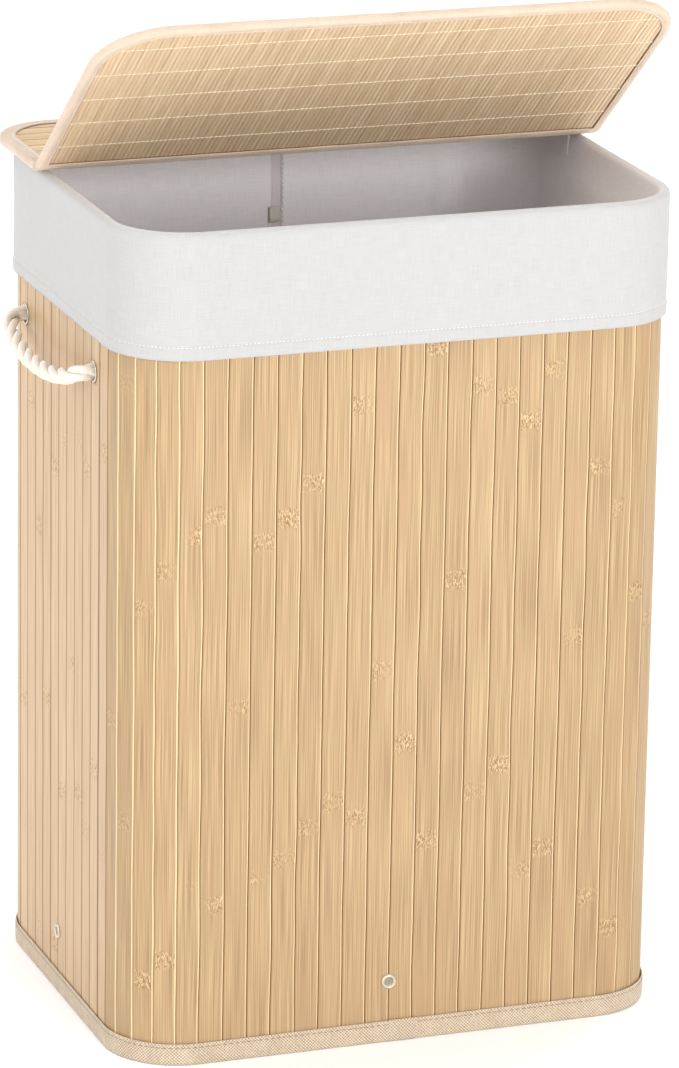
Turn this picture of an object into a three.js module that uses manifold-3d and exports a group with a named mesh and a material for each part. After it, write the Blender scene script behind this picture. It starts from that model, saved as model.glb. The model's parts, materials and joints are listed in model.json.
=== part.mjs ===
// A folding laundry hamper: a wall of upright bamboo slats on a backing cloth, a washable cotton
// liner turned down over the rim, two rope handles, and a lid in two parts with a cloth fold.
// Millimetres, +Z up. The front faces -Y, and the origin is on the floor under the body's middle.
import * as THREE from "three";
import { mergeVertices } from "three/addons/utils/BufferGeometryUtils.js";
import Module from "manifold-3d";

const wasm = await Module();
wasm.setup();

// Body
const WIDTH = 404;
const DEPTH = 310;
const RIM_HEIGHT = 600;
const CORNER_RADIUS = 52;
const FRONT_SLATS = 17; // across the flat of the front, and of the back
const SIDE_SLATS = 11;
const CORNER_SLATS = 5;
const GAP = 0.3; // clearance between neighbouring pieces

// Wall layers, as distances outward from the faces of the slats
const SLAT_THICKNESS = 2;
const SLAT_JOINT = 0.6;
const JOINT_DEPTH = 1.3;
const SLAT_BEVEL = 0.4;
const BACKING_OUTER = -(SLAT_THICKNESS + GAP);
const BACKING_INNER = BACKING_OUTER - 0.8;
const FITTING_FACE = BACKING_INNER - GAP; // where the fittings inside the wall start
const SLAT_BOTTOM = 1.6;
const SLAT_TOP = RIM_HEIGHT - 3;

// Tapes sewn over the wall's edges
const TAPE = 1;
const BOTTOM_TAPE_HEIGHT = 16;
const BOTTOM_TAPE_INNER_HEIGHT = 13;
const TOP_TAPE_HEIGHT = 16;
const TOP_TAPE = 0.8;

// Liner
const LINER_THICKNESS = 1.2;
const CUFF_DROP = 88.5;
const CUFF_OFFSET = 1.4;
const BAG_OFFSET = -7.5;
const BAG_CORNER = 60;
const BAG_OFFSET_AT_KNOTS = -27; // the stopper knots push the bag's sides inward

// Base
const BAR_WIDTH = 16;
const BAR_THICKNESS = 1.5;
const UPPER_BAR_HEIGHT = 28.1; // underside of the bar that runs across
const LOWER_BAR_HEIGHT = UPPER_BAR_HEIGHT - BAR_THICKNESS - GAP;
const BAR_TOP = 57; // top of the bars' upturned ends
const BOARD_HEIGHT = 31.2;
const BOARD_THICKNESS = 3;
const BOARD_OFFSET = -5.6;
const BOARD_CORNER = 64;
const FRONT_SLAT_WIDTH = (WIDTH - 2 * CORNER_RADIUS) / FRONT_SLATS;
const LOWER_BAR_X = -FRONT_SLAT_WIDTH / 2; // its rivets sit on the joint left of the middle slat
const SIDE_SLAT_WIDTH = (DEPTH - 2 * CORNER_RADIUS) / SIDE_SLATS;
const UPPER_BAR_Y = SIDE_SLAT_WIDTH / 2; // and these on the joint behind the middle slat

// Rivets that hold the bars' ends to the wall
const RIVET_HEIGHT = 45.5;
const RIVET_HEAD_RADIUS = 5.4;
const RIVET_RADIUS = 2.5;
const RIVET_HOLE_RADIUS = 2.9;

// Corner rods and their sleeves
const ROD_RADIUS = 2.5;
const SLEEVE_RADIUS = 3.4;

// Rope handles
const ROPE_RADIUS = 6;
const HANDLE_HEIGHT = 485;
const HANDLE_HALF_SPAN = 80;
const HANDLE_Y = UPPER_BAR_Y; // centred on the same joint as the side rivet
const EYELET_BORE_RADIUS = 6.3;
const EYELET_RADIUS = 6.8;
const EYELET_FLANGE_RADIUS = 8;
const EYELET_HOLE_RADIUS = 7.1;
const ROPE_END = -5; // the rope stops here, inside the wall, against its knot
const KNOT_RADIUS = 12;
const KNOT_HALF_LENGTH = 10;

// Lid
const LID_SIDE_OVERHANG = 9.5;
const LID_FRONT_OVERHANG = 10;
const LID_BACK_OVERHANG = 11;
const LID_CORNER_RADIUS = 50;
const LID_UNDERSIDE = RIM_HEIGHT + 0.4;
const LID_THICKNESS = 6.8;
const LID_TAPE = 0.8;
const LID_TAPE_WIDTH = 12; // on the top
const LID_TAPE_WIDTH_UNDER = 7.5;
const LID_EDGE_ROUND = 2;
const LID_SLAT_PITCH = 18.4;
const REED_THICKNESS = 1.8;
const FOLD_Y = 39;
const FOLD_TAPE_WIDTH = 14;
const FOLD_TAPE = 0.6;
const FOLD_AXIS_Z = LID_THICKNESS + FOLD_TAPE + 2 * GAP; // above the lid's underside
const FLAP_OPEN_ANGLE = 39;

// Cloth hinge between the back wall and the lid
const HINGE_TAPE = 0.6;
const HINGE_TAPE_LENGTH = 280;
const HINGE_TAPE_DROP = 40;

const bamboo = new THREE.MeshStandardMaterial({ color: 0xe0c193, roughness: 0.55, metalness: 0 });
const reed = new THREE.MeshStandardMaterial({ color: 0xc9ad82, roughness: 0.7, metalness: 0 });
const cotton = new THREE.MeshStandardMaterial({ color: 0xf1f0ee, roughness: 0.9, metalness: 0 });
const tape = new THREE.MeshStandardMaterial({ color: 0xdcc2a2, roughness: 0.85, metalness: 0 });
const rope = new THREE.MeshStandardMaterial({ color: 0xf0e7d6, roughness: 0.9, metalness: 0 });
const nickel = new THREE.MeshStandardMaterial({ color: 0xc9c5ba, roughness: 0.3, metalness: 1 });
const steel = new THREE.MeshStandardMaterial({ color: 0x9a9c9e, roughness: 0.4, metalness: 1 });
const board = new THREE.MeshStandardMaterial({ color: 0xb9a07c, roughness: 0.8, metalness: 0 });

// ---- helpers ----

function arc(x, y, radius, from, sweep, steps) {
  return Array.from({ length: steps + 1 }, (_, i) => {
    const a = from + (sweep * i) / steps;
    return new THREE.Vector2(x + radius * Math.cos(a), y + radius * Math.sin(a));
  });
}

// The corners of a rounded rectangle, anticlockwise from the front right.
const CORNERS = [
  { name: "front_right", x: 1, y: -1, from: -Math.PI / 2 },
  { name: "back_right", x: 1, y: 1, from: 0 },
  { name: "back_left", x: -1, y: 1, from: Math.PI / 2 },
  { name: "front_left", x: -1, y: -1, from: Math.PI },
];

function roundedRectangle(halfX, halfY, radius) {
  return CORNERS.flatMap(({ x, y, from }) =>
    arc(x * (halfX - radius), y * (halfY - radius), radius, from, Math.PI / 2, CORNER_SLATS),
  );
}

const atHeight = (points, z) => points.map((p) => new THREE.Vector3(p.x, p.y, z));

// A level ring that follows the wall at an offset outward from the slats.
function wallRing(offset, z) {
  return atHeight(
    roundedRectangle(WIDTH / 2 + offset, DEPTH / 2 + offset, CORNER_RADIUS + offset),
    z,
  );
}

function facingOut(geometry) {
  const p = geometry.getAttribute("position");
  const index = geometry.index.array;
  const [a, b, c] = [new THREE.Vector3(), new THREE.Vector3(), new THREE.Vector3()];
  let volume = 0;
  for (let i = 0; i < index.length; i += 3) {
    a.fromBufferAttribute(p, index[i]);
    b.fromBufferAttribute(p, index[i + 1]);
    c.fromBufferAttribute(p, index[i + 2]);
    volume += a.dot(b.cross(c));
  }
  if (volume < 0) {
    for (let i = 0; i < index.length; i += 3) {
      [index[i + 1], index[i + 2]] = [index[i + 2], index[i + 1]];
    }
  }
  geometry.computeVertexNormals();
  return geometry;
}

// A solid through level rings of equal length. Joined, the last ring meets the first, as in a
// tape that runs round the wall; otherwise each end is closed by a flat face.
function loft(rings, joined) {
  const count = rings[0].length;
  const points = rings.flat();
  const faces = [];
  const band = (a, b) => {
    for (let i = 0; i < count; i++) {
      const j = (i + 1) % count;
      faces.push(a * count + i, a * count + j, b * count + j);
      faces.push(a * count + i, b * count + j, b * count + i);
    }
  };
  for (let r = 0; r + 1 < rings.length; r++) band(r, r + 1);
  if (joined) {
    band(rings.length - 1, 0);
  } else {
    for (const r of [0, rings.length - 1]) {
      const centre = points.push(new THREE.Vector3(0, 0, rings[r][0].z)) - 1;
      for (let i = 0; i < count; i++) {
        const edge = [r * count + i, r * count + ((i + 1) % count)];
        faces.push(centre, ...(r === 0 ? edge.reverse() : edge));
      }
    }
  }
  const geometry = new THREE.BufferGeometry().setFromPoints(points);
  geometry.setIndex(faces);
  return facingOut(geometry);
}

// A solid of revolution about +Z from [radius, z] pairs.
function turned(profile, segments) {
  const points = profile.map(([r, z]) => new THREE.Vector2(r, z));
  const geometry = new THREE.LatheGeometry(points, segments);
  return facingOut(welded(geometry.rotateX(Math.PI / 2)));
}

const closedLoop = (profile) => [...profile, profile[0]];

function welded(geometry) {
  geometry.deleteAttribute("normal");
  geometry.deleteAttribute("uv");
  return mergeVertices(geometry, 1e-3);
}

function prism(outline, z0, z1) {
  const geometry = new THREE.ExtrudeGeometry(new THREE.Shape(outline), {
    depth: z1 - z0,
    bevelEnabled: false,
  });
  return facingOut(welded(geometry.translate(0, 0, z0)));
}

function toSolid(geometry) {
  const clean = welded(geometry.clone());
  return new wasm.Manifold(
    new wasm.Mesh({
      numProp: 3,
      vertProperties: clean.getAttribute("position").array,
      triVerts: new Uint32Array(clean.index.array),
    }),
  );
}

function toGeometry(solid) {
  const mesh = solid.getMesh();
  const geometry = new THREE.BufferGeometry();
  geometry.setAttribute("position", new THREE.BufferAttribute(mesh.vertProperties, 3));
  geometry.setIndex(new THREE.BufferAttribute(mesh.triVerts, 1));
  geometry.computeVertexNormals();
  return geometry;
}

const cut = (geometry, cutters) =>
  toGeometry(cutters.reduce((solid, c) => solid.subtract(toSolid(c)), toSolid(geometry)));

const common = (a, b) => toGeometry(toSolid(a).intersect(toSolid(b)));

function piece(group, name, geometry, material, frame) {
  const mesh = new THREE.Mesh(geometry, material);
  mesh.name = name;
  if (frame) mesh.applyMatrix4(frame);
  group.add(mesh);
}

// ---- places on the wall ----

// A frame on a wall's face whose +Z points outward; along is x on the front and back, y on the sides.
function onWall(side, along, z) {
  const turn = { front: [1, 0], back: [-1, 0], right: [0, 1], left: [0, -1] }[side];
  const place = {
    front: [along, -DEPTH / 2, z],
    back: [along, DEPTH / 2, z],
    right: [WIDTH / 2, along, z],
    left: [-WIDTH / 2, along, z],
  }[side];
  const quarter = Math.PI / 2;
  const frame = new THREE.Matrix4().makeRotationFromEuler(
    new THREE.Euler(turn[0] * quarter, turn[1] * quarter, 0),
  );
  return frame.setPosition(...place);
}

const RIVET_PLACES = [
  { side: "front", along: LOWER_BAR_X },
  { side: "back", along: LOWER_BAR_X },
  { side: "left", along: UPPER_BAR_Y },
  { side: "right", along: UPPER_BAR_Y },
];

const EYELET_PLACES = ["left", "right"].flatMap((side) => [
  { side, end: "front", along: HANDLE_Y - HANDLE_HALF_SPAN },
  { side, end: "back", along: HANDLE_Y + HANDLE_HALF_SPAN },
]);

function holeCutter(radius, sides, frame) {
  const reach = 8; // well past both faces of the wall
  return turned([[0, -reach], [radius, -reach], [radius, reach], [0, reach]], sides).applyMatrix4(frame);
}

function holesFor(side) {
  const rivets = RIVET_PLACES.filter((p) => p.side === side).map((p) =>
    holeCutter(RIVET_HOLE_RADIUS, 12, onWall(side, p.along, RIVET_HEIGHT)),
  );
  const eyelets = EYELET_PLACES.filter((p) => p.side === side).map((p) =>
    holeCutter(EYELET_HOLE_RADIUS, 16, onWall(side, p.along, HANDLE_HEIGHT)),
  );
  return [...rivets, ...eyelets];
}

// ---- wall ----

// The level outline of a run of slats between the given joints, which go anticlockwise round the
// body. Each slat is flat with bevelled edges, and thin at the joints, where the cloth bends.
function slatOutline(joints) {
  const outer = [];
  const normals = [];
  for (let i = 0; i + 1 < joints.length; i++) {
    const along = joints[i + 1].clone().sub(joints[i]).normalize();
    const out = new THREE.Vector2(along.y, -along.x);
    normals.push(out);
    const point = (joint, side, step, depth) =>
      joint.clone().addScaledVector(along, side * step).addScaledVector(out, -depth);
    for (const [joint, side] of [[joints[i], 1], [joints[i + 1], -1]]) {
      const edge = [
        point(joint, side, SLAT_JOINT / 2, JOINT_DEPTH),
        point(joint, side, SLAT_JOINT / 2, SLAT_BEVEL),
        point(joint, side, SLAT_JOINT / 2 + SLAT_BEVEL, 0),
      ];
      outer.push(...(side > 0 ? edge : edge.reverse()));
    }
  }
  const inner = joints.map((joint, i) => {
    const before = normals[Math.max(i - 1, 0)];
    const after = normals[Math.min(i, normals.length - 1)];
    const middle = before.clone().add(after).normalize();
    const depth = SLAT_THICKNESS / middle.dot(after);
    const end = i === 0 ? 1 : i === joints.length - 1 ? -1 : 0;
    const along = new THREE.Vector2(-after.y, after.x).multiplyScalar((end * SLAT_JOINT) / 2);
    return joint.clone().addScaledVector(middle, -depth).add(along);
  });
  return [...outer, ...inner.reverse()];
}

function straightJoints(from, to, slats) {
  return Array.from({ length: slats + 1 }, (_, i) =>
    new THREE.Vector2(...from).lerp(new THREE.Vector2(...to), i / slats),
  );
}

function addWall(group) {
  const x = WIDTH / 2;
  const y = DEPTH / 2;
  const flatX = x - CORNER_RADIUS;
  const flatY = y - CORNER_RADIUS;
  const seamX = FRONT_SLAT_WIDTH / 2;
  const leftSlats = (FRONT_SLATS + 1) / 2;
  const panels = {
    slat_wall_front: ["front", straightJoints([-flatX, -y], [flatX, -y], FRONT_SLATS)],
    slat_wall_right: ["right", straightJoints([x, -flatY], [x, flatY], SIDE_SLATS)],
    slat_wall_back_right: ["", straightJoints([flatX, y], [seamX, y], FRONT_SLATS - leftSlats)],
    slat_wall_back_left: ["back", straightJoints([seamX, y], [-flatX, y], leftSlats)],
    slat_wall_left: ["left", straightJoints([-x, flatY], [-x, -flatY], SIDE_SLATS)],
  };
  for (const [name, [side, joints]] of Object.entries(panels)) {
    const blank = prism(slatOutline(joints), SLAT_BOTTOM, SLAT_TOP);
    piece(group, name, cut(blank, holesFor(side)), bamboo);
  }
  for (const corner of CORNERS) {
    const joints = arc(
      corner.x * flatX,
      corner.y * flatY,
      CORNER_RADIUS,
      corner.from,
      Math.PI / 2,
      CORNER_SLATS,
    );
    const blank = prism(slatOutline(joints), SLAT_BOTTOM, SLAT_TOP);
    piece(group, `slat_corner_${corner.name}`, blank, bamboo);
  }
  const backing = loft(
    [
      wallRing(BACKING_OUTER, SLAT_BOTTOM),
      wallRing(BACKING_OUTER, SLAT_TOP),
      wallRing(BACKING_INNER, SLAT_TOP),
      wallRing(BACKING_INNER, SLAT_BOTTOM),
    ],
    true,
  );
  const holes = ["front", "back", "left", "right"].flatMap(holesFor);
  piece(group, "wall_backing_cloth", cut(backing, holes), tape);
}

// A tape folded over an edge of the wall. The legs' free ends are at outerEnd and innerEnd, the
// fold's outside is at edge and its inside at seat.
function foldedTape(outerEnd, innerEnd, edge, seat, thickness) {
  const inner = FITTING_FACE;
  return loft(
    [
      wallRing(GAP + thickness, outerEnd),
      wallRing(GAP + thickness, edge),
      wallRing(inner - thickness, edge),
      wallRing(inner - thickness, innerEnd),
      wallRing(inner, innerEnd),
      wallRing(inner, seat),
      wallRing(GAP, seat),
      wallRing(GAP, outerEnd),
    ],
    true,
  );
}

function addWallTapes(group) {
  const seat = SLAT_BOTTOM - GAP;
  piece(
    group,
    "bottom_binding",
    foldedTape(BOTTOM_TAPE_HEIGHT, BOTTOM_TAPE_INNER_HEIGHT, 0, seat, TAPE),
    tape,
  );
  const topSeat = SLAT_TOP + GAP;
  const topEnd = SLAT_TOP - TOP_TAPE_HEIGHT;
  piece(
    group,
    "top_binding",
    foldedTape(topEnd, topEnd, topSeat + TOP_TAPE, topSeat, TOP_TAPE),
    tape,
  );
  const seam = { width: 24, thickness: 0.6, bottom: 60, top: 540 };
  const seamTape = new THREE.BoxGeometry(seam.width, seam.top - seam.bottom, seam.thickness);
  seamTape.translate(0, 0, FITTING_FACE - seam.thickness / 2);
  const seamFrame = onWall("back", FRONT_SLAT_WIDTH / 2, (seam.top + seam.bottom) / 2);
  piece(group, "back_seam_tape", seamTape, tape, seamFrame);
  const hook = { length: 240, height: 25, thickness: 0.6, z: 558 };
  for (const side of ["front", "back"]) {
    const strip = new THREE.BoxGeometry(hook.length, hook.height, hook.thickness);
    strip.translate(0, 0, FITTING_FACE - hook.thickness / 2);
    piece(group, `liner_hook_strip_${side}`, strip, cotton, onWall(side, 0, hook.z));
  }
}

// ---- base ----

// A flat bar with upturned ends, as a level run from -reach to reach at height z.
function baseBar(reach, z) {
  const inner = reach - BAR_THICKNESS;
  const outline = [
    [-reach, BAR_TOP],
    [-reach, z],
    [reach, z],
    [reach, BAR_TOP],
    [inner, BAR_TOP],
    [inner, z + BAR_THICKNESS],
    [-inner, z + BAR_THICKNESS],
    [-inner, BAR_TOP],
  ].map(([u, v]) => new THREE.Vector2(u, v));
  return prism(outline, -BAR_WIDTH / 2, BAR_WIDTH / 2).rotateX(Math.PI / 2);
}

function addBase(group) {
  const boardRing = (z) =>
    atHeight(
      roundedRectangle(WIDTH / 2 + BOARD_OFFSET, DEPTH / 2 + BOARD_OFFSET, BOARD_CORNER),
      z,
    );
  const rings = [boardRing(BOARD_HEIGHT), boardRing(BOARD_HEIGHT + BOARD_THICKNESS)];
  piece(group, "base_board", loft(rings, false), board);

  const barEnds = RIVET_PLACES.map((p) =>
    holeCutter(RIVET_HOLE_RADIUS, 12, onWall(p.side, p.along, RIVET_HEIGHT)),
  );
  const crossing = new THREE.Matrix4().setPosition(LOWER_BAR_X, UPPER_BAR_Y, UPPER_BAR_HEIGHT);
  const cutters = [...barEnds, holeCutter(RIVET_HOLE_RADIUS, 12, crossing)];
  const across = baseBar(WIDTH / 2 + FITTING_FACE, UPPER_BAR_HEIGHT).translate(0, UPPER_BAR_Y, 0);
  piece(group, "base_bar_across", cut(across, cutters), steel);
  const frontToBack = baseBar(DEPTH / 2 + FITTING_FACE, LOWER_BAR_HEIGHT)
    .rotateZ(Math.PI / 2)
    .translate(LOWER_BAR_X, 0, 0);
  piece(group, "base_bar_front_to_back", cut(frontToBack, cutters), steel);
  const low = LOWER_BAR_HEIGHT - GAP;
  const high = UPPER_BAR_HEIGHT + BAR_THICKNESS + GAP;
  const headHeight = 1;
  const profile = [
    [0, low - headHeight],
    [RIVET_HEAD_RADIUS, low - headHeight],
    [RIVET_HEAD_RADIUS, low],
    [RIVET_RADIUS, low],
    [RIVET_RADIUS, high],
    [RIVET_HEAD_RADIUS, high],
    [RIVET_HEAD_RADIUS, high + headHeight],
    [0, high + headHeight],
  ];
  const centre = new THREE.Matrix4().setPosition(LOWER_BAR_X, UPPER_BAR_Y, 0);
  piece(group, "base_centre_rivet", turned(profile, 12), nickel, centre);
}

// A rivet with a dished head outside and a clenched tail inside, and the washer under the tail.
function addRivets(group) {
  const barFace = FITTING_FACE - BAR_THICKNESS;
  const washer = { top: barFace - GAP, bottom: barFace - GAP - 0.8, radius: 5 };
  const tail = { top: washer.bottom - GAP, bottom: washer.bottom - GAP - 0.6, radius: 3.6 };
  const rivet = [
    [0, 0.7],
    [3.2, 0.7],
    [3.8, 1.3],
    [RIVET_HEAD_RADIUS - 0.5, 1.3],
    [RIVET_HEAD_RADIUS, 0.8],
    [RIVET_HEAD_RADIUS, GAP],
    [RIVET_RADIUS, GAP],
    [RIVET_RADIUS, tail.top],
    [tail.radius, tail.top],
    [tail.radius, tail.bottom],
    [0, tail.bottom],
  ];
  const ring = closedLoop([
    [RIVET_HOLE_RADIUS, washer.top],
    [washer.radius, washer.top],
    [washer.radius, washer.bottom],
    [RIVET_HOLE_RADIUS, washer.bottom],
  ]);
  for (const { side, along } of RIVET_PLACES) {
    const frame = onWall(side, along, RIVET_HEIGHT);
    piece(group, `base_rivet_${side}`, turned(rivet, 14), nickel, frame);
    piece(group, `rivet_washer_${side}`, turned(ring, 12), nickel, frame);
  }
}

// Stiff rods stand in cloth sleeves inside the four corners and keep the wall upright.
function addCornerRods(group) {
  const halfSlat = Math.PI / 4 / CORNER_SLATS; // half the turn of one slat
  const fromCorner = (CORNER_RADIUS + FITTING_FACE) * Math.cos(halfSlat) - SLEEVE_RADIUS;
  const rod = turned([[0, 14], [ROD_RADIUS, 14], [ROD_RADIUS, 556], [0, 556]], 8);
  const bore = ROD_RADIUS + GAP;
  const sleeve = turned(
    closedLoop([[bore, 20], [SLEEVE_RADIUS, 20], [SLEEVE_RADIUS, 550], [bore, 550]]),
    12,
  );
  for (const { name, x, y } of CORNERS) {
    const place = new THREE.Matrix4().setPosition(
      x * (WIDTH / 2 - CORNER_RADIUS + fromCorner * Math.SQRT1_2),
      y * (DEPTH / 2 - CORNER_RADIUS + fromCorner * Math.SQRT1_2),
      0,
    );
    piece(group, `corner_rod_${name}`, rod, steel, place);
    piece(group, `rod_sleeve_${name}`, sleeve, tape, place);
  }
}

// ---- liner ----

// One cloth: up from the middle of the bag's floor on the outside, over the rim, down the outside
// of the cuff, back up over the rim, and down the inside of the bag to its floor.
function addLiner(group) {
  const t = LINER_THICKNESS;
  const bagRing = (sideOffset, endOffset, z, radius) =>
    atHeight(roundedRectangle(WIDTH / 2 + sideOffset, DEPTH / 2 + endOffset, radius), z);
  const floor = BOARD_HEIGHT + BOARD_THICKNESS + GAP;
  const rimInside = FITTING_FACE - TOP_TAPE - GAP;
  const crown = SLAT_TOP + TOP_TAPE + 2 * GAP;
  const bagHeights = [
    [floor + 12, BAG_OFFSET],
    [300, BAG_OFFSET],
    [HANDLE_HEIGHT - 40, BAG_OFFSET_AT_KNOTS],
    [HANDLE_HEIGHT + 36, BAG_OFFSET_AT_KNOTS],
    [572, BAG_OFFSET],
  ];
  const bag = (inset) =>
    bagHeights.map(([z, side]) => bagRing(side - inset, BAG_OFFSET - inset, z, BAG_CORNER - inset));
  const floorRing = (inset) =>
    bagRing(BAG_OFFSET - 9, BAG_OFFSET - 9, floor + inset, BAG_CORNER - 9);
  const cuffBottom = RIM_HEIGHT - CUFF_DROP;
  const rings = [
    floorRing(0),
    ...bag(0),
    wallRing(rimInside, SLAT_TOP - TOP_TAPE_HEIGHT),
    wallRing(rimInside, crown),
    wallRing(CUFF_OFFSET, crown),
    wallRing(CUFF_OFFSET, cuffBottom),
    wallRing(CUFF_OFFSET + t, cuffBottom),
    wallRing(CUFF_OFFSET + t, crown),
    wallRing(CUFF_OFFSET, RIM_HEIGHT),
    wallRing(rimInside, RIM_HEIGHT),
    wallRing(rimInside - t, crown),
    wallRing(rimInside - t, SLAT_TOP - TOP_TAPE_HEIGHT),
    ...bag(t).reverse(),
    floorRing(t),
  ];
  piece(group, "cotton_liner", loft(rings, false), cotton);
}

// ---- rope handles ----

function addEyelets(group) {
  const inner = FITTING_FACE;
  const profile = closedLoop([
    [EYELET_BORE_RADIUS, 1.1],
    [EYELET_FLANGE_RADIUS - 0.4, 1.1],
    [EYELET_FLANGE_RADIUS, GAP],
    [EYELET_RADIUS, GAP],
    [EYELET_RADIUS, inner],
    [EYELET_FLANGE_RADIUS, inner],
    [EYELET_FLANGE_RADIUS, inner - 0.8],
    [EYELET_BORE_RADIUS, inner - 0.8],
  ]);
  const knot = new THREE.SphereGeometry(1, 10, 7);
  knot.scale(KNOT_RADIUS, KNOT_RADIUS, KNOT_HALF_LENGTH);
  knot.translate(0, 0, ROPE_END - GAP - KNOT_HALF_LENGTH);
  for (const { side, end, along } of EYELET_PLACES) {
    const frame = onWall(side, along, HANDLE_HEIGHT);
    piece(group, `handle_eyelet_${side}_${end}`, turned(profile, 16), nickel, frame);
    piece(group, `rope_knot_${side}_${end}`, knot, rope, frame);
  }
}

// Half of the rope's middle line, from its end inside the front eyelet to the middle of the loop,
// as [distance outward from the slats, distance forward of the middle, height over the eyelets].
const HALF_ROPE = [
  [ROPE_END, HANDLE_HALF_SPAN, 0],
  [2, HANDLE_HALF_SPAN, 0],
  [9, HANDLE_HALF_SPAN - 1, -0.8],
  [14, HANDLE_HALF_SPAN - 8, -4],
  [16, HANDLE_HALF_SPAN - 22, -8],
  [17.8, HANDLE_HALF_SPAN - 42, -11.3],
  [18.8, HANDLE_HALF_SPAN - 62, -12.8],
];

function ropeHandle(sideSign) {
  const place = (out, y, rise) =>
    new THREE.Vector3(sideSign * (WIDTH / 2 + out), HANDLE_Y + y, HANDLE_HEIGHT + rise);
  const points = [
    ...HALF_ROPE.map(([out, forward, rise]) => place(out, -forward, rise)),
    place(19, 0, -13.2),
    ...[...HALF_ROPE].reverse().map(([out, forward, rise]) => place(out, forward, rise)),
  ];
  const section = arc(0, 0, ROPE_RADIUS, 0, 2 * Math.PI, 10).slice(0, -1);
  const geometry = new THREE.ExtrudeGeometry(new THREE.Shape(section), {
    steps: 26,
    extrudePath: new THREE.CatmullRomCurve3(points),
  });
  return facingOut(welded(geometry));
}

// ---- lid ----

const LID_HALF_WIDTH = WIDTH / 2 + LID_SIDE_OVERHANG;
const LID_FRONT = DEPTH / 2 + LID_FRONT_OVERHANG; // distances from the body's middle
const LID_BACK = DEPTH / 2 + LID_BACK_OVERHANG;

// The outline of the flap or the rear panel, drawn in from its edge by inset. The two corners away
// from the fold are round.
function lidOutline(part, inset) {
  const x = LID_HALF_WIDTH - inset;
  const far = (part === "flap" ? LID_FRONT : LID_BACK) - inset;
  const radius = LID_CORNER_RADIUS - inset;
  const corner = ({ x: sx, y: sy, from }) =>
    arc(sx * (x - radius), sy * (far - radius), radius, from, Math.PI / 2, CORNER_SLATS);
  const [frontRight, backRight, backLeft, frontLeft] = CORNERS;
  if (part === "flap") {
    const near = FOLD_Y - GAP - inset;
    const fold = [new THREE.Vector2(x, near), new THREE.Vector2(-x, near)];
    return [...corner(frontLeft), ...corner(frontRight), ...fold];
  }
  const near = FOLD_Y + GAP + inset;
  const fold = [new THREE.Vector2(-x, near), new THREE.Vector2(x, near)];
  return [...fold, ...corner(backRight), ...corner(backLeft)];
}

function lidBinding(part) {
  const high = LID_THICKNESS;
  const seat = LID_EDGE_ROUND + LID_TAPE;
  const profile = [
    [LID_TAPE_WIDTH_UNDER, 0],
    [LID_EDGE_ROUND, 0],
    [0, LID_EDGE_ROUND],
    [0, high - LID_EDGE_ROUND],
    [LID_EDGE_ROUND, high],
    [LID_TAPE_WIDTH, high],
    [LID_TAPE_WIDTH, high - LID_TAPE],
    [seat, high - LID_TAPE],
    [seat, LID_TAPE],
    [LID_TAPE_WIDTH_UNDER, LID_TAPE],
  ];
  return loft(profile.map(([inset, z]) => atHeight(lidOutline(part, inset), z)), true);
}

// A plate of slats that run along X, with a groove at each joint, counted away from the fold.
function groovedPlate(direction, z0, z1) {
  const length = LID_FRONT + FOLD_Y; // long enough for either part
  const points = [[0, z0], [0, z1]];
  for (let y = LID_SLAT_PITCH; y < length; y += LID_SLAT_PITCH) {
    points.push([y - SLAT_BEVEL, z1], [y, z1 - JOINT_DEPTH], [y + SLAT_BEVEL, z1]);
  }
  points.push([length, z1], [length, z0]);
  const outline = points.map(([y, z]) => new THREE.Vector2(FOLD_Y + direction * y, z));
  const toAxes = new THREE.Matrix4().makeBasis(
    new THREE.Vector3(0, 1, 0),
    new THREE.Vector3(0, 0, 1),
    new THREE.Vector3(1, 0, 0),
  );
  return facingOut(prism(outline, -LID_HALF_WIDTH, LID_HALF_WIDTH).applyMatrix4(toAxes));
}

function addLidPanel(group, part) {
  const inset = LID_EDGE_ROUND + LID_TAPE + GAP;
  const outline = lidOutline(part, inset);
  const low = LID_TAPE + GAP;
  const middle = low + REED_THICKNESS;
  const high = LID_THICKNESS - LID_TAPE - GAP;
  const slats = groovedPlate(part === "flap" ? -1 : 1, middle + GAP, high);
  piece(group, `lid_${part}_slats`, common(slats, prism(outline, low, high)), bamboo);
  piece(group, `lid_${part}_reed_mat`, prism(outline, low, middle), reed);
  piece(group, `lid_${part}_binding`, lidBinding(part), tape);
  const strip = new THREE.BoxGeometry(2 * (LID_HALF_WIDTH - LID_EDGE_ROUND), FOLD_TAPE_WIDTH, FOLD_TAPE);
  const side = part === "flap" ? -1 : 1;
  const y = FOLD_Y + side * (GAP + FOLD_TAPE_WIDTH / 2);
  strip.translate(0, y, LID_THICKNESS + GAP + FOLD_TAPE / 2);
  piece(group, `lid_${part}_fold_tape`, strip, tape);
}

// The back hinge: one leaf hangs down the back of the cuff, the other is sewn under the lid's
// overhang. They meet at the lid's rear axis.
const CUFF_FACE_Y = DEPTH / 2 + CUFF_OFFSET + LINER_THICKNESS;

function addBackHinge(body, lid) {
  const top = RIM_HEIGHT - GAP;
  const bodyLeaf = new THREE.BoxGeometry(HINGE_TAPE_LENGTH, HINGE_TAPE, HINGE_TAPE_DROP);
  bodyLeaf.translate(0, CUFF_FACE_Y + GAP + HINGE_TAPE / 2, top - HINGE_TAPE_DROP / 2);
  piece(body, "back_hinge_leaf_body", bodyLeaf, tape);
  const leafStart = CUFF_FACE_Y + 2 * GAP + HINGE_TAPE + 1;
  const leafDepth = LID_BACK - LID_EDGE_ROUND - leafStart;
  const lidLeaf = new THREE.BoxGeometry(HINGE_TAPE_LENGTH, leafDepth, HINGE_TAPE);
  lidLeaf.translate(0, leafStart + leafDepth / 2, -GAP - HINGE_TAPE / 2);
  piece(lid, "back_hinge_leaf_lid", lidLeaf, tape);
}

// ---- assembly ----

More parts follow.
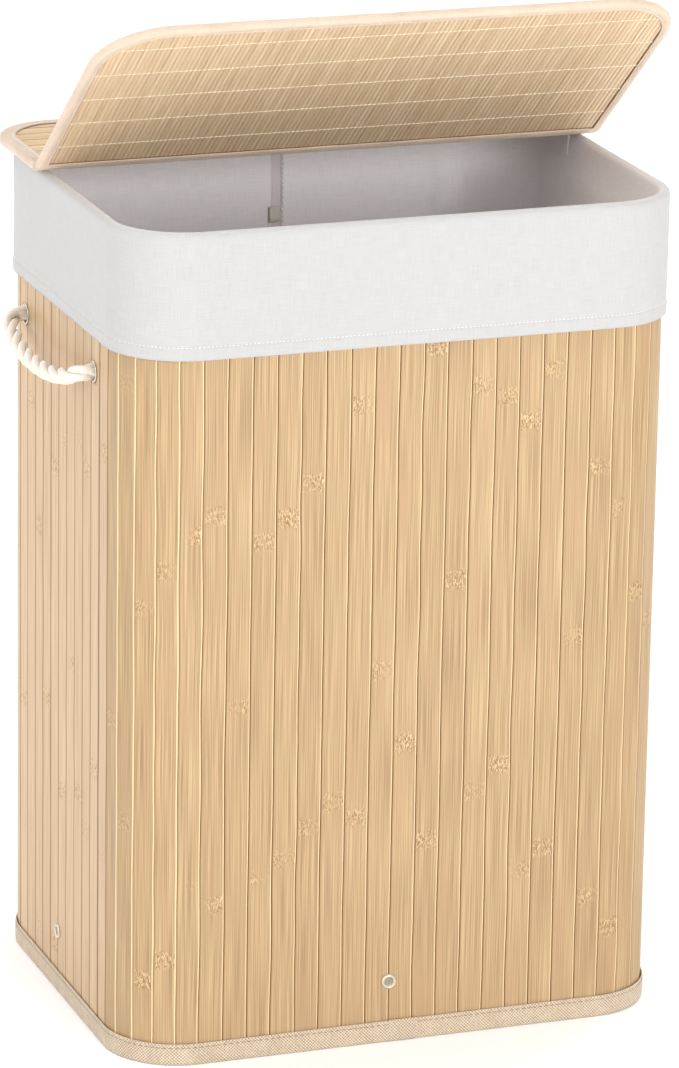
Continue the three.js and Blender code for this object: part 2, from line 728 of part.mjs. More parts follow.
const hamper = new THREE.Group();

const body = new THREE.Group();
addWall(body);
addWallTapes(body);
addBase(body);
addRivets(body);
addCornerRods(body);
addEyelets(body);
addLiner(body);
hamper.add(body);

const lid = new THREE.Group();
lid.position.z = LID_UNDERSIDE;
addLidPanel(lid, "rear");
addBackHinge(body, lid);
hamper.add(lid);

const fold = new THREE.Group();
fold.position.set(0, FOLD_Y, LID_UNDERSIDE + FOLD_AXIS_Z);
fold.rotation.x = -THREE.MathUtils.degToRad(FLAP_OPEN_ANGLE);
const flap = new THREE.Group();
flap.position.set(0, -FOLD_Y, -FOLD_AXIS_Z);
addLidPanel(flap, "flap");
fold.add(flap);
hamper.add(fold);

piece(hamper, "rope_handle_left", ropeHandle(-1), rope);
piece(hamper, "rope_handle_right", ropeHandle(1), rope);

export default hamper;
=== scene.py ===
import json
import math
import random

import bpy
from mathutils import Matrix, Vector, noise


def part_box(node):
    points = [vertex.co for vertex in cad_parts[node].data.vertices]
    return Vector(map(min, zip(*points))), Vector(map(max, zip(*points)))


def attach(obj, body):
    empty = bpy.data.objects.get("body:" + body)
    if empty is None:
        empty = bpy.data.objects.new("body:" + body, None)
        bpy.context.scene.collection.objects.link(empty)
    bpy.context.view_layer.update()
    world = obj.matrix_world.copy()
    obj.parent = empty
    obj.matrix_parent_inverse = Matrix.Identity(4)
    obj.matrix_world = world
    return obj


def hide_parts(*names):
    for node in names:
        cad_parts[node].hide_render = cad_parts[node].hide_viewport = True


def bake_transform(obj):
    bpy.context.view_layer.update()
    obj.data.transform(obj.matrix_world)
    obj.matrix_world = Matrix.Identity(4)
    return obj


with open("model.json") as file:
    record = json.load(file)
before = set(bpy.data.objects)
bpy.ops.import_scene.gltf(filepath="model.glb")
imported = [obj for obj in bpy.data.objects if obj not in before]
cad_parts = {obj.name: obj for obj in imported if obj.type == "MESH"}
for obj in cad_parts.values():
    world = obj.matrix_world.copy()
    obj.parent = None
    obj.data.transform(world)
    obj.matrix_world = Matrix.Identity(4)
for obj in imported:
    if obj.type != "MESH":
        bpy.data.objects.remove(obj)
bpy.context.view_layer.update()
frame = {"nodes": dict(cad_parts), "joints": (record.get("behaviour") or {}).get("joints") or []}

MM = 0.001

# ---- sizes that the frame gives ----

HALF_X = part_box("slat_wall_right")[1].x
HALF_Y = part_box("slat_wall_back_left")[1].y
EYELETS = [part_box(f"handle_eyelet_left_{end}") for end in ("front", "back")]
EYELET_Y = [(low.y + high.y) / 2 for low, high in EYELETS]
HANDLE_Z = (EYELETS[0][0].z + EYELETS[0][1].z) / 2
LID_LOW, LID_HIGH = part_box("lid_rear_binding")
LID_UNDERSIDE, LID_THICKNESS = LID_LOW.z, LID_HIGH.z - LID_LOW.z
LID_HALF_X, LID_BACK_Y = LID_HIGH.x, LID_HIGH.y
FOLD = next(Vector(joint["pos_m"]) for joint in frame["joints"] if joint["name"] == "lid_fold")

# ---- sizes of the real pieces ----

CORNER = 52 * MM
FRONT_SLATS, SIDE_SLATS, CORNER_SLATS = 17, 11, 5
SLAT_LOW, SLAT_HIGH = 1.6 * MM, 597 * MM
SLAT_THICKNESS = 2 * MM
SLAT_GAP = 0.35 * MM
SLAT_BEVEL = 0.6 * MM
SLAT_STEP = 8 * MM
SLAT_WANDER = 0.4 * MM
WALL_SEED = 11  # of the random differences between the wall's slats
EYELET_HOLE = 7.1 * MM
RIM_Z = 600 * MM
CUFF_LOW = RIM_Z - 88.5 * MM
HEM = 9 * MM
LID_FRONT_Y = -165 * MM  # the flap's front edge when the lid is shut
LID_CORNER = 50 * MM
LID_SLAT_PITCH = 18.4 * MM
LID_SLAT_THICKNESS = 2.4 * MM
FLAP_ANGLE = math.radians(39)
REED_PITCH = 3.36 * MM
THREAD_PITCH = 36 * MM
ROPE_RADIUS = 6 * MM
ROPE_LAY = 52 * MM
CLOTH = 0.8 * MM
STRIP = 0.6 * MM  # thickness of the lid's cloth hinges
TAPE_STITCH = (3.6, 2.6, 0.7, 0.2)  # pitch, length, width and height, in millimetres
QUARTER = math.pi / 2

# ---- camera ----


def add_camera():
    """The camera faces the aim, and is slid sideways and up to frame the hamper."""
    azimuth, pitch, roll = (math.radians(angle) for angle in (-20.07, 17.07, 0.95))
    aim, distance, slide, rise = Vector((0, 0, 0.3)), 4.2051, 0.0055, 0.0281
    back = Vector((
        math.sin(azimuth) * math.cos(pitch),
        -math.cos(azimuth) * math.cos(pitch),
        math.sin(pitch),
    ))
    right = Vector((0, 0, 1)).cross(back).normalized()
    up = back.cross(right)
    turned_right = right * math.cos(roll) + up * math.sin(roll)
    turned_up = up * math.cos(roll) - right * math.sin(roll)
    data = bpy.data.cameras.new("camera")
    data.lens, data.sensor_width = 197.6, 36
    camera = bpy.data.objects.new("camera", data)
    bpy.context.scene.collection.objects.link(camera)
    place = aim + turned_right * slide + turned_up * rise + back * distance
    turn = Matrix((turned_right, turned_up, back)).transposed()
    camera.matrix_world = Matrix.Translation(place) @ turn.to_4x4()
    bpy.context.scene.camera = camera


add_camera()

# ---- mesh building ----


class Shape:
    """Points, faces and UV maps gathered into one mesh. The map "surface" holds metres across and
    along the material, "marks" a tone and the distance to the nearest bamboo node, and "edges"
    the distances to a slat's left and right edge."""

    def __init__(self):
        self.points, self.faces = [], []
        self.surface, self.marks, self.edges = [], [], []

    def grid(self, rows, across, along, closed=False, looped=False, marks=None, edges=None):
        """Faces between rows of points. Closed joins each row's ends, looped joins the first row
        and the last. across and along hold one more number than there are joined points."""
        base = len(self.points)
        count = len(rows[0])
        for row in rows:
            self.points.extend(row)
        for i in range(len(rows) - (0 if looped else 1)):
            for j in range(count - (0 if closed else 1)):
                corners = ((i, j), (i, j + 1), (i + 1, j + 1), (i + 1, j))
                self.faces.append(tuple(
                    base + (a % len(rows)) * count + b % count for a, b in corners
                ))
                self.surface.extend((across[b], along[a]) for a, b in corners)
                self.marks.extend(marks(a, b) if marks else (0.0, 1.0) for a, b in corners)
                self.edges.extend(edges(a, b % count) if edges else (1.0, 1.0) for a, b in corners)
        return base

    def cap(self, first, count, reverse=False, surface=(0.0, 0.0), marks=(0.0, 1.0)):
        """One face over a ring of points that starts at index first."""
        ring = range(first, first + count)
        self.faces.append(tuple(reversed(ring)) if reverse else tuple(ring))
        self.surface.extend([surface] * count)
        self.marks.extend([marks] * count)
        self.edges.extend([(1.0, 1.0)] * count)

    def build(self, name, material):
        mesh = bpy.data.meshes.new(name)
        mesh.from_pydata([tuple(p) for p in self.points], [], self.faces)
        maps = {"surface": self.surface, "marks": self.marks, "edges": self.edges}
        for layer_name, values in maps.items():
            layer = mesh.uv_layers.new(name=layer_name)
            layer.data.foreach_set("uv", [number for pair in values for number in pair])
        mesh.polygons.foreach_set("use_smooth", [True] * len(mesh.polygons))
        mesh.materials.append(material)
        mesh.update()
        piece = bpy.data.objects.new(name, mesh)
        bpy.context.scene.collection.objects.link(piece)
        return piece


def finish_piece(piece, body, slot, *nodes):
    """Gives a piece its body and hides the CAD nodes that it stands for; the slot is not used. A
    piece that bends between two bodies has None for its body."""
    if body:
        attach(piece, body)
    if nodes:
        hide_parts(*nodes)


def running(points, closed=True):
    """Distance along a line of points at each one, and once round at the end when closed."""
    total, out = 0.0, [0.0]
    following = points[1:] + (points[:1] if closed else [])
    for a, b in zip(points, following):
        total += (Vector(b) - Vector(a)).length
        out.append(total)
    return out


def outline(corners, step):
    """Columns round a shape with square corners that are rounded by their radius, anticlockwise.
    Each is a point and the vector that leads to the outline one metre further out."""
    knots = []
    for i, (corner, radius) in enumerate(corners):
        corner = Vector(corner)
        before = (corner - Vector(corners[i - 1][0])).normalized()
        after = (Vector(corners[(i + 1) % len(corners)][0]) - corner).normalized()
        out_before, out_after = Vector((before.y, -before.x)), Vector((after.y, -after.x))
        if radius == 0:
            knots.append((corner, out_before + out_after))
            continue
        centre = corner - (out_before + out_after) * radius
        start = math.atan2(out_before.y, out_before.x)
        steps = max(6, round(radius * QUARTER / step))
        for k in range(steps + 1):
            angle = start + QUARTER * k / steps
            out = Vector((math.cos(angle), math.sin(angle)))
            knots.append((centre + out * radius, out))
    columns = []
    for (a, out_a), (b, out_b) in zip(knots, knots[1:] + knots[:1]):
        parts = max(1, round((b - a).length / step))
        columns += [(a.lerp(b, k / parts), out_a.lerp(out_b, k / parts)) for k in range(parts)]
    return columns


def wall_outline(step):
    corners = [(HALF_X, HALF_Y), (-HALF_X, HALF_Y), (-HALF_X, -HALF_Y), (HALF_X, -HALF_Y)]
    return outline([(corner, CORNER) for corner in corners], step)


def offset_point(column, outward, z):
    point = column[0] + column[1] * outward
    return Vector((point.x, point.y, z))


def normals(columns):
    return [Vector((out.x, out.y, 0)) for _, out in columns]


def in_metres(pairs):
    return [(a * MM, b * MM) for a, b in pairs]


def thicken(piece, thickness):
    """Gives a sheet of cloth its thickness, half of it on each side."""
    modifier = piece.modifiers.new("cloth_thickness", "SOLIDIFY")
    modifier.thickness, modifier.offset = thickness, 0
    return piece


def add_stitches(shape, points, outs, pitch, length, width, height):
    """Short raised threads along a line of points, each lying on the surface with that normal."""
    far = running(points, closed=False)
    ring = [(math.cos(QUARTER * k), math.sin(QUARTER * k)) for k in range(4)]
    sections = [(-0.5, 0.25, 0), (-0.25, 0.9, 0.6), (0.25, 0.9, 0.6), (0.5, 0.25, 0)]
    position, index = pitch / 2, 0
    while position + length / 2 < far[-1]:
        while far[index + 1] < position:
            index += 1
        share = (position - far[index]) / (far[index + 1] - far[index])
        centre = points[index].lerp(points[index + 1], share)
        out = outs[index].lerp(outs[index + 1], share).normalized()
        along = (points[index + 1] - points[index]).normalized()
        side = along.cross(out)
        rows = []
        for step, size, lift in sections:
            middle = centre + along * step * length + out * (height * lift)
            rows.append([
                middle + side * (x * width / 2 * size) + out * (y * height * size) for x, y in ring
            ])
        shape.grid(rows, range(5), range(4), closed=True)
        position += pitch


def sew(name, lines, size, material, body, slot):
    """A piece with stitches along lines of points, each line with one normal or one for each
    point. The size is the stitches' pitch, length, width and height, in millimetres."""
    shape = Shape()
    for points, outs in lines:
        outs = [outs] * len(points) if isinstance(outs, Vector) else outs
        add_stitches(shape, points, outs, *(value * MM for value in size))
    finish_piece(shape.build(name, material), body, slot)


# ---- materials ----


def srgb(red, green, blue):
    """A linear colour from the 0 to 255 values of a display."""
    def linear(value):
        value /= 255
        return value / 12.92 if value <= 0.04045 else ((value + 0.055) / 1.055) ** 2.4
    return (linear(red), linear(green), linear(blue), 1.0)


def scaled(colour, share):
    return tuple(channel * share for channel in colour[:3]) + (1.0,)


class Surface:
    """A node material, built by short calls that each return a socket."""

    def __init__(self, name, **values):
        self.material = bpy.data.materials.new(name)
        self.material.use_nodes = True
        self.tree = self.material.node_tree
        self.shader = self.tree.nodes["Principled BSDF"]
        for socket, value in values.items():
            self.shader.inputs[socket.replace("_", " ")].default_value = value

    def node(self, kind, inputs=None, output=0, **settings):
        node = self.tree.nodes.new("ShaderNode" + kind)
        for key, value in settings.items():
            setattr(node, key, value)
        for key, value in (inputs or {}).items():
            self.feed(node.inputs[key], value)
        return node.outputs[output]

    def feed(self, socket, value):
        if isinstance(value, bpy.types.NodeSocket):
            self.tree.links.new(value, socket)
        else:
            socket.default_value = value

    def colour(self, value):
        self.feed(self.shader.inputs["Base Color"], value)

    def roughness(self, base, value, spread):
        """The base roughness, and up to the spread more where the value is high."""
        rough = self.math("ADD", base, self.math("MULTIPLY", value, spread))
        self.feed(self.shader.inputs["Roughness"], rough)

    def math(self, operation, a, b=0.0):
        return self.node("Math", {0: a, 1: b}, operation=operation)

    def weighted(self, *terms):
        """The sum of terms of a value and its weight."""
        first, *others = [self.math("MULTIPLY", value, weight) for value, weight in terms]
        for term in others:
            first = self.math("ADD", first, term)
        return first

    def mix(self, factor, a, b, blend="MIX"):
        return self.node("Mix", {0: factor, 6: a, 7: b}, 2, data_type="RGBA", blend_type=blend)

    def uv(self, name):
        return self.node("UVMap", uv_map=name)

    def where(self, size, slant=0.0):
        """The surface map in units of the given size across and along, turned by the slant."""
        scale = (1 / size[0], 1 / size[1], 1.0)
        return self.node("Mapping", {0: self.uv("surface"), 2: (0, 0, slant), 3: scale})

    def object_space(self, size):
        place = self.node("TexCoord", output=3)
        return self.node("Mapping", {0: place, 3: tuple(1 / s for s in size)})

    def noise(self, vector, detail=2.0, roughness=0.5, distortion=0.0):
        inputs = {"Vector": vector, "Scale": 1.0, "Detail": detail, "Roughness": roughness}
        return self.node("TexNoise", {**inputs, "Distortion": distortion})

    def parts(self, vector, *indices):
        return [self.node("SeparateXYZ", {0: vector}, index) for index in indices or (0, 1)]

    def between(self, value, low, high):
        """0 at low, 1 at high, smooth between."""
        inputs = {0: value, 1: low, 2: high, 3: 0.0, 4: 1.0}
        return self.node("MapRange", inputs, interpolation_type="SMOOTHSTEP")

    def ramp(self, factor, *stops):
        socket = self.node("ValToRGB", {0: factor})
        elements = socket.node.color_ramp.elements
        while len(elements) < len(stops):
            elements.new(0.5)
        for element, (position, colour) in zip(elements, stops):
            element.position, element.color = position, colour
        return socket

    def tint(self, colour, value, low, high, tint):
        """The colour, turning to the tint as the value goes from low to high."""
        return self.mix(self.between(value, low, high), colour, tint)

    def bump(self, height, depth):
        normal = self.node("Bump", {"Strength": 1.0, "Distance": depth, "Height": height})
        self.feed(self.shader.inputs["Normal"], normal)

    def weave(self, across, along):
        """A plain weave's height, 0 to 1, from two numbers that grow by one at each thread."""
        waves = [self.math("SINE", self.math("MULTIPLY", n, math.pi)) for n in (across, along)]
        return self.math("ADD", self.math("MULTIPLY", self.math("MULTIPLY", *waves), 0.5), 0.5)


def bamboo(name, dark, light, blush):
    s = Surface(name, Specular_IOR_Level=0.5)
    fibre = s.noise(s.where((0.6 * MM, 80 * MM)), 0)
    strand = s.noise(s.where((1.3 * MM, 110 * MM)))
    streak = s.noise(s.where((5 * MM, 220 * MM)))
    cloud = s.noise(s.where((14 * MM, 110 * MM)))
    tone, distance = s.parts(s.uv("marks"))
    grain = s.weighted((fibre, 0.7), (strand, 0.15), (streak, 0.15))
    colour = s.ramp(s.weighted((grain, 1.0), (tone, 0.03)), (0.32, dark), (0.68, light))
    colour = s.tint(colour, cloud, 0.52, 0.8, blush)

    # The nodes: bands of short slanting flecks, darker and lighter than the wood.
    wander = s.noise(s.where((5 * MM, 14 * MM)))
    reach = s.weighted((distance, 1.0), (wander, 7 * MM))
    strength = s.between(s.noise(s.where((30 * MM, 60 * MM))), 0.3, 0.62)
    inside = s.math("MULTIPLY", s.between(reach, 12.5 * MM, 7.5 * MM), strength)
    fleck = s.noise(s.where((0.9 * MM, 2.6 * MM), slant=0.35), 2, 0.6, 0.9)
    for low, high, tint in ((0.52, 0.6, srgb(214, 185, 138)), (0.48, 0.41, srgb(142, 107, 66))):
        colour = s.mix(s.math("MULTIPLY", inside, s.between(fleck, low, high)), colour, tint)

    # A painted highlight runs along the right edge of each slat, and painted shade along its left
    # edge by the joint, as if lit from the right.
    left, right = s.parts(s.uv("edges"))
    colour = s.tint(colour, right, 1.0 * MM, 0.8 * MM, srgb(234, 208, 163))
    colour = s.tint(colour, left, 1.2 * MM, 0.8 * MM, srgb(170, 138, 98))
    colour = s.tint(colour, left, 0.6 * MM, 0.3 * MM, srgb(147, 113, 75))
    s.colour(colour)
    s.roughness(0.38, fibre, 0.22)
    s.bump(s.weighted((grain, 0.6), (inside, fleck)), 0.4 * MM)
    return s.material


def cotton(name, tint, second_tint):
    """Plain woven cotton. The tone of the marks map leads from the tint to the second tint. On the
    liner the second tint is the bag's inside, painted much lighter than the cuff to make up for
    the shade inside the bag: painted light.
    """
    s = Surface(
        name, Roughness=0.92, Specular_IOR_Level=0.2, Sheen_Weight=0.15, Sheen_Roughness=0.6
    )
    threads = s.weave(*s.parts(s.where((0.7 * MM, 0.7 * MM))))
    slub_across = s.noise(s.where((14 * MM, 0.7 * MM)))
    slub_along = s.noise(s.where((0.7 * MM, 14 * MM)))
    shade = s.weighted((threads, 0.35), (slub_across, 0.5), (slub_along, 0.5))
    tone, _ = s.parts(s.uv("marks"))
    cloth = s.ramp(shade, (0.35, (0.81, 0.81, 0.81, 1.0)), (0.85, (1.0, 1.0, 1.0, 1.0)))
    s.colour(s.mix(1.0, cloth, s.mix(tone, tint, second_tint), "MULTIPLY"))
    s.bump(shade, 0.12 * MM)
    return s.material


def tape(name, dark, light, pitch, depth):
    s = Surface(name, Roughness=0.85, Specular_IOR_Level=0.25, Sheen_Weight=0.2)
    threads = s.weave(*s.parts(s.where((pitch, pitch))))
    yarn = s.noise(s.where((pitch * 1.3, 5 * MM)))
    patch = s.noise(s.where((12 * MM, 30 * MM)))
    shade = s.weighted((threads, 0.6), (yarn, 0.35), (patch, 0.2))
    s.colour(s.ramp(shade, (0.3, dark), (0.75, light)))
    s.bump(threads, depth)
    return s.material


def cad_weave(name, dark, light, pitch):
    """A plain weave for CAD pieces, which carry no maps: it runs round the wall and up it."""
    s = Surface(name, Roughness=0.88, Specular_IOR_Level=0.2)
    x, y, z = s.parts(s.object_space((pitch,) * 3), 0, 1, 2)
    threads = s.weave(s.math("ADD", x, y), z)
    slubs = s.noise(s.object_space((3 * pitch, 3 * pitch, pitch)))
    patch = s.noise(s.object_space((14 * MM,) * 3))
    shade = s.weighted((threads, 0.35), (slubs, 0.4), (patch, 0.25))
    s.colour(s.ramp(shade, (0.3, dark), (0.7, light)))
    s.bump(threads, 0.2 * MM)
    return s.material


def satin(name, tint):
    s = Surface(
        name, Roughness=0.55, Specular_IOR_Level=0.35, Sheen_Weight=0.3, Sheen_Roughness=0.35
    )
    ribs = s.noise(s.where((0.5 * MM, 6 * MM)))
    patch = s.noise(s.where((25 * MM, 8 * MM)))
    shade = s.weighted((ribs, 0.5), (patch, 0.5))
    s.colour(s.ramp(shade, (0.3, scaled(tint, 0.8)), (0.65, tint)))
    s.bump(ribs, 0.1 * MM)
    return s.material


def reeds(name):
    s = Surface(name, Specular_IOR_Level=0.4)
    streak = s.noise(s.where((0.8 * MM, 45 * MM)), 3)
    length = s.noise(s.where((9 * MM, 60 * MM)))
    tone, tape_distance = s.parts(s.uv("marks"))
    shade = s.weighted((streak, 0.5), (length, 0.4), (tone, 0.07))
    colour = s.ramp(shade, (0.32, srgb(202, 173, 136)), (0.6, srgb(228, 206, 174)))
    # Painted shade across each reed's rounded sides, darker towards its edges.
    nearest = s.math("MINIMUM", *s.parts(s.uv("edges")))
    colour = s.tint(colour, nearest, 1.1 * MM, 0.2 * MM, srgb(214, 186, 149))
    # Painted shade along the edge tape, where the reeds run under it.
    colour = s.tint(colour, tape_distance, 1.4 * MM, 0.5 * MM, srgb(160, 126, 90))
    s.colour(colour)
    s.roughness(0.45, streak, 0.25)
    s.bump(streak, 0.15 * MM)
    return s.material


def rope_yarn(name):
    s = Surface(
        name, Roughness=0.9, Specular_IOR_Level=0.2, Sheen_Weight=0.25, Sheen_Roughness=0.5
    )
    around, along = s.parts(s.where((1.0, 9 * MM)))
    turn = s.weighted((around, 5.0), (along, 1.0))
    yarn = s.math("SINE", s.math("MULTIPLY", turn, 2 * math.pi))
    fuzz = s.noise(s.where((0.06, 1.2 * MM)), 3)
    shade = s.weighted((yarn, 0.04), (fuzz, 0.8))
    s.colour(s.ramp(shade, (0.2, srgb(216, 205, 192)), (0.5, srgb(241, 233, 223))))
    s.bump(shade, 0.25 * MM)
    return s.material


def thread(name, tint):
    s = Surface(name, Roughness=0.7, Specular_IOR_Level=0.3)
    twist = s.noise(s.object_space((0.4 * MM,) * 3))
    s.colour(s.ramp(twist, (0.35, scaled(tint, 0.8)), (0.65, tint)))
    return s.material


def metal(name, tint, polish, roughness, grain):
    """Scratched metal. Where the tone of the marks map is 1, it is darker."""
    s = Surface(name, Metallic=polish)
    scratches = s.noise(s.object_space(grain), 3)
    tone, _ = s.parts(s.uv("marks"))
    bright = s.ramp(scratches, (0.35, scaled(tint, 0.8)), (0.6, tint))
    s.colour(s.mix(tone, bright, scaled(tint, 0.42)))
    s.roughness(roughness, scratches, 0.2)
    s.bump(scratches, 0.03 * MM)
    return s.material


def fibreboard(name):
    s = Surface(name, Roughness=0.8)
    specks = s.noise(s.object_space((1.2 * MM,) * 3), 4, 0.7)
    cloud = s.noise(s.object_space((40 * MM,) * 3))
    shade = s.weighted((specks, 0.6), (cloud, 0.4))
    s.colour(s.ramp(shade, (0.35, srgb(142, 112, 78)), (0.65, srgb(186, 158, 120))))
    s.bump(specks, 0.15 * MM)
    return s.material


# Lit and shaded copies of one bamboo: the front's slats are painted darker, and the sides', the
# back's and the lid's are painted lighter, to stand in for how the light falls on each.
BAMBOO_FRONT_PAINTED_SHADE = bamboo("bamboo_slats", srgb(154, 123, 86), srgb(193, 164, 122), srgb(178, 144, 107))
BAMBOO_SIDE_PAINTED_LIGHT = bamboo("bamboo_side_painted_light", srgb(170, 140, 106), srgb(210, 183, 147), srgb(200, 167, 135))
BAMBOO_LID_PAINTED_LIGHT = bamboo("bamboo_lid_painted_light", srgb(196, 165, 124), srgb(231, 205, 165), srgb(220, 187, 150))
# One cotton: the cuff is painted darker and the bag's inside is painted lighter, to stand in for
# the cuff's strong light and the shade inside the bag.
COTTON = cotton("cotton_white", srgb(191, 190, 189), srgb(248, 245, 248))
# The seam's cloth is painted darker than the bag's inside, as painted shade along its raised ridge,
# and darker still under its stitches as painted shade, so the white stitches show.
SEAM_PAINTED_SHADE = cotton("seam_cotton_painted_shade", srgb(232, 223, 227), srgb(216, 206, 210))
LABEL = cotton("label_beige", srgb(222, 217, 205), srgb(222, 217, 205))
BINDING = tape(
    "bottom_tape_weave", srgb(150, 129, 104), srgb(220, 203, 180), 1.2 * MM, depth=0.4 * MM
)
PLAIN_TAPE = tape(
    "plain_tape_weave", srgb(186, 160, 130), srgb(222, 198, 168), 0.9 * MM, depth=0.2 * MM
)
SATIN = satin("lid_tape_satin", srgb(218, 196, 175))
REED = reeds("reed_mat")
ROPE = rope_yarn("cotton_rope")
WHITE_THREAD = thread("white_thread", srgb(254, 252, 248))
PEACH_THREAD = thread("peach_thread", srgb(226, 204, 180))
CREAM_THREAD = thread("cream_thread", srgb(250, 238, 212))
# A real thread, painted dark brown to stand in for the shade along each stitch.
BROWN_THREAD_PAINTED_SHADE = thread("brown_thread_painted_shade", srgb(158, 128, 100))
NICKEL = metal("nickel_plate", srgb(226, 214, 192), 0.5, 0.28, (2 * MM,) * 3)
STEEL = metal("plain_steel", srgb(150, 152, 155), 1.0, 0.35, (0.6 * MM, 20 * MM, 2 * MM))
BOARD = fibreboard("fibreboard")
CAD_TAPE = cad_weave("backing_weave", srgb(178, 152, 122), srgb(218, 194, 164), 0.9 * MM)
CAD_COTTON = cad_weave("hook_strip_weave", srgb(196, 195, 194), srgb(236, 235, 233), 0.7 * MM)
CAD_ROPE = cad_weave("knot_yarn", srgb(206, 195, 180), srgb(241, 233, 223), 2.4 * MM)

# ---- rope handles ----

# Half of the rope's middle line, from inside the front eyelet nearly to the middle of the loop:
# outward from the slats, forward of the loop's middle, and height over the eyelets, in millimetres.
HALF_SPAN = (EYELET_Y[1] - EYELET_Y[0]) / 2 / MM
HALF_ROPE = [
    (-5, HALF_SPAN, 0), (2, HALF_SPAN, 0), (9, HALF_SPAN - 1, -0.8), (14, HALF_SPAN - 8, -4),
    (16, HALF_SPAN - 22, -8), (17.8, HALF_SPAN - 42, -11.3), (18.8, HALF_SPAN - 62, -12.8),
]
ROPE_MIDDLE = (19, 0, -13.2)


def smooth_line(points, parts):
    """A Catmull-Rom line through the points."""
    ends = [points[0] * 2 - points[1], *points, points[-1] * 2 - points[-2]]
    line = []
    for a, b, c, d in zip(ends, ends[1:], ends[2:], ends[3:]):
        for t in (k / parts for k in range(parts)):
            line.append(0.5 * (
                2 * b + (c - a) * t + (2 * a - 5 * b + 4 * c - d) * t**2
                + (3 * b - a - 3 * c + d) * t**3
            ))
    return [*line, points[-1]]


def evenly(line, step):
    """The same line with its points about a step apart."""
    far = running(line, closed=False)
    count = round(far[-1] / step)
    out, index = [], 0
    for k in range(count + 1):
        target = far[-1] * k / count
        while index + 2 < len(far) and far[index + 1] < target:
            index += 1
        share = (target - far[index]) / (far[index + 1] - far[index])
        out.append(line[index].lerp(line[index + 1], share))
    return out


def rope_route(side):
    middle = (EYELET_Y[0] + EYELET_Y[1]) / 2
    other = [(outward, -forward, rise) for outward, forward, rise in reversed(HALF_ROPE)]
    points = [
        Vector((side * (HALF_X + outward * MM), middle - forward * MM, HANDLE_Z + rise * MM))
        for outward, forward, rise in (*HALF_ROPE, ROPE_MIDDLE, *other)
    ]
    return evenly(smooth_line(points, 12), 1.2 * MM)


def twisted_rope(shape, line, strands=3, sides=12):
    """Strands, slightly oval, that wind round a line."""
    strand = ROPE_RADIUS / (1 + 1 / math.sin(math.pi / strands))
    far = running(line, closed=False)
    across = [j / sides for j in range(sides + 1)]
    for k in range(strands):
        rows = []
        normal = Vector((0, 0, 1))
        for i, point in enumerate(line):
            ahead, behind = line[min(i + 1, len(line) - 1)], line[max(i - 1, 0)]
            tangent = (ahead - behind).normalized()
            normal = (normal - tangent * normal.dot(tangent)).normalized()
            turn = 2 * math.pi * (far[i] / ROPE_LAY + k / strands)
            out = normal * math.cos(turn) + tangent.cross(normal) * math.sin(turn)
            around = tangent.cross(out)
            centre = point + out * (ROPE_RADIUS - strand)
            rows.append([
                centre + out * (strand * math.cos(a)) + around * (strand * 1.12 * math.sin(a))
                for a in (2 * math.pi * j / sides for j in range(sides))
            ])
        base = shape.grid(rows, across, far, closed=True)
        shape.cap(base, sides, reverse=True)
        shape.cap(base + (len(rows) - 1) * sides, sides)


def add_rope(side_name, side):
    line = rope_route(side)
    shape = Shape()
    twisted_rope(shape, line)
    rope = shape.build(f"rope_{side_name}_strands", ROPE)
    finish_piece(rope, None, "cotton_rope", f"rope_handle_{side_name}")
    running(line, closed=False)[-1]
    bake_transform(rope)


add_rope("left", -1)
add_rope("right", 1)

# ---- slats ----

# How broad a slat's bevels are, and how far the painted highlight and painted shade reach in from
# its left and right edges.
WALL_EDGE, SIDE_EDGE, LID_EDGE = (1.0, 1.0, 1.0), (1.0, 0.5, 1.3), (0.7, 0.5, 0.5)


def wave(rng, size):
    """A smooth random wander, in metres, along a slat's edge."""
    parts = [(rng.uniform(20, 90), rng.uniform(0, 6.28), rng.uniform(0.3, 1)) for _ in range(3)]
    return lambda along: size / 2 * sum(w * math.sin(f * along + p) for f, p, w in parts)


def add_slat(shape, rng, at, length, left, right, thickness, edge, swap=False):
    """One bamboo slat with bevelled edges. at(across, share, out) is a place on it, and left and
    right are the wandering edges. Swap puts the painted shade on the right edge and the painted
    highlight on the left one."""
    spacing = rng.uniform(0.24, 0.36)
    first = rng.uniform(0.02, spacing)
    nodes = [first + spacing * k for k in range(6) if first + spacing * k < length]
    count = round(length / SLAT_STEP)
    stops = sorted({*(length * k / count for k in range(count + 1)), *nodes})
    tone = rng.uniform(-1, 1)
    sink = rng.uniform(0, 0.2) * MM
    lean = rng.uniform(-0.1, 0.1) * MM
    drift = (rng.uniform(0, 5), rng.uniform(0, 5))
    rows, spread, widths = [], None, []
    bevel = SLAT_BEVEL * edge[0]
    for along in stops:
        l, r = left(along) + SLAT_GAP / 2, right(along) - SLAT_GAP / 2
        section = [
            (l, -thickness), (l, -bevel), (l + bevel * 0.3, -bevel * 0.3), (l + bevel, 0),
            (l + 3 * bevel, 0), (r - 3 * bevel, 0), (r - bevel, 0),
            (r - bevel * 0.3, -bevel * 0.3), (r, -bevel), (r, -thickness),
        ]
        spread = spread or running(section)
        pairs = [((a - l) / edge[1], (r - a) / edge[2]) for a, _ in section]
        widths.append([pair[::-1] for pair in pairs] if swap else pairs)
        rows.append([
            at(a, along / length, max(-thickness, o - sink - lean * (2 * (a - l) / (r - l) - 1)))
            for a, o in section
        ])
    far = [min([abs(along - node) for node in nodes] or [1.0]) for along in stops]
    base = shape.grid(
        rows, [a + drift[0] for a in spread], [a + drift[1] for a in stops], closed=True,
        marks=lambda i, j: (tone, far[i]), edges=lambda i, j: widths[i][j],
    )
    count = len(rows[0])
    ends = {"surface": drift, "marks": (tone, 1.0)}
    shape.cap(base, count, reverse=True, **ends)
    shape.cap(base + (len(rows) - 1) * count, count, **ends)


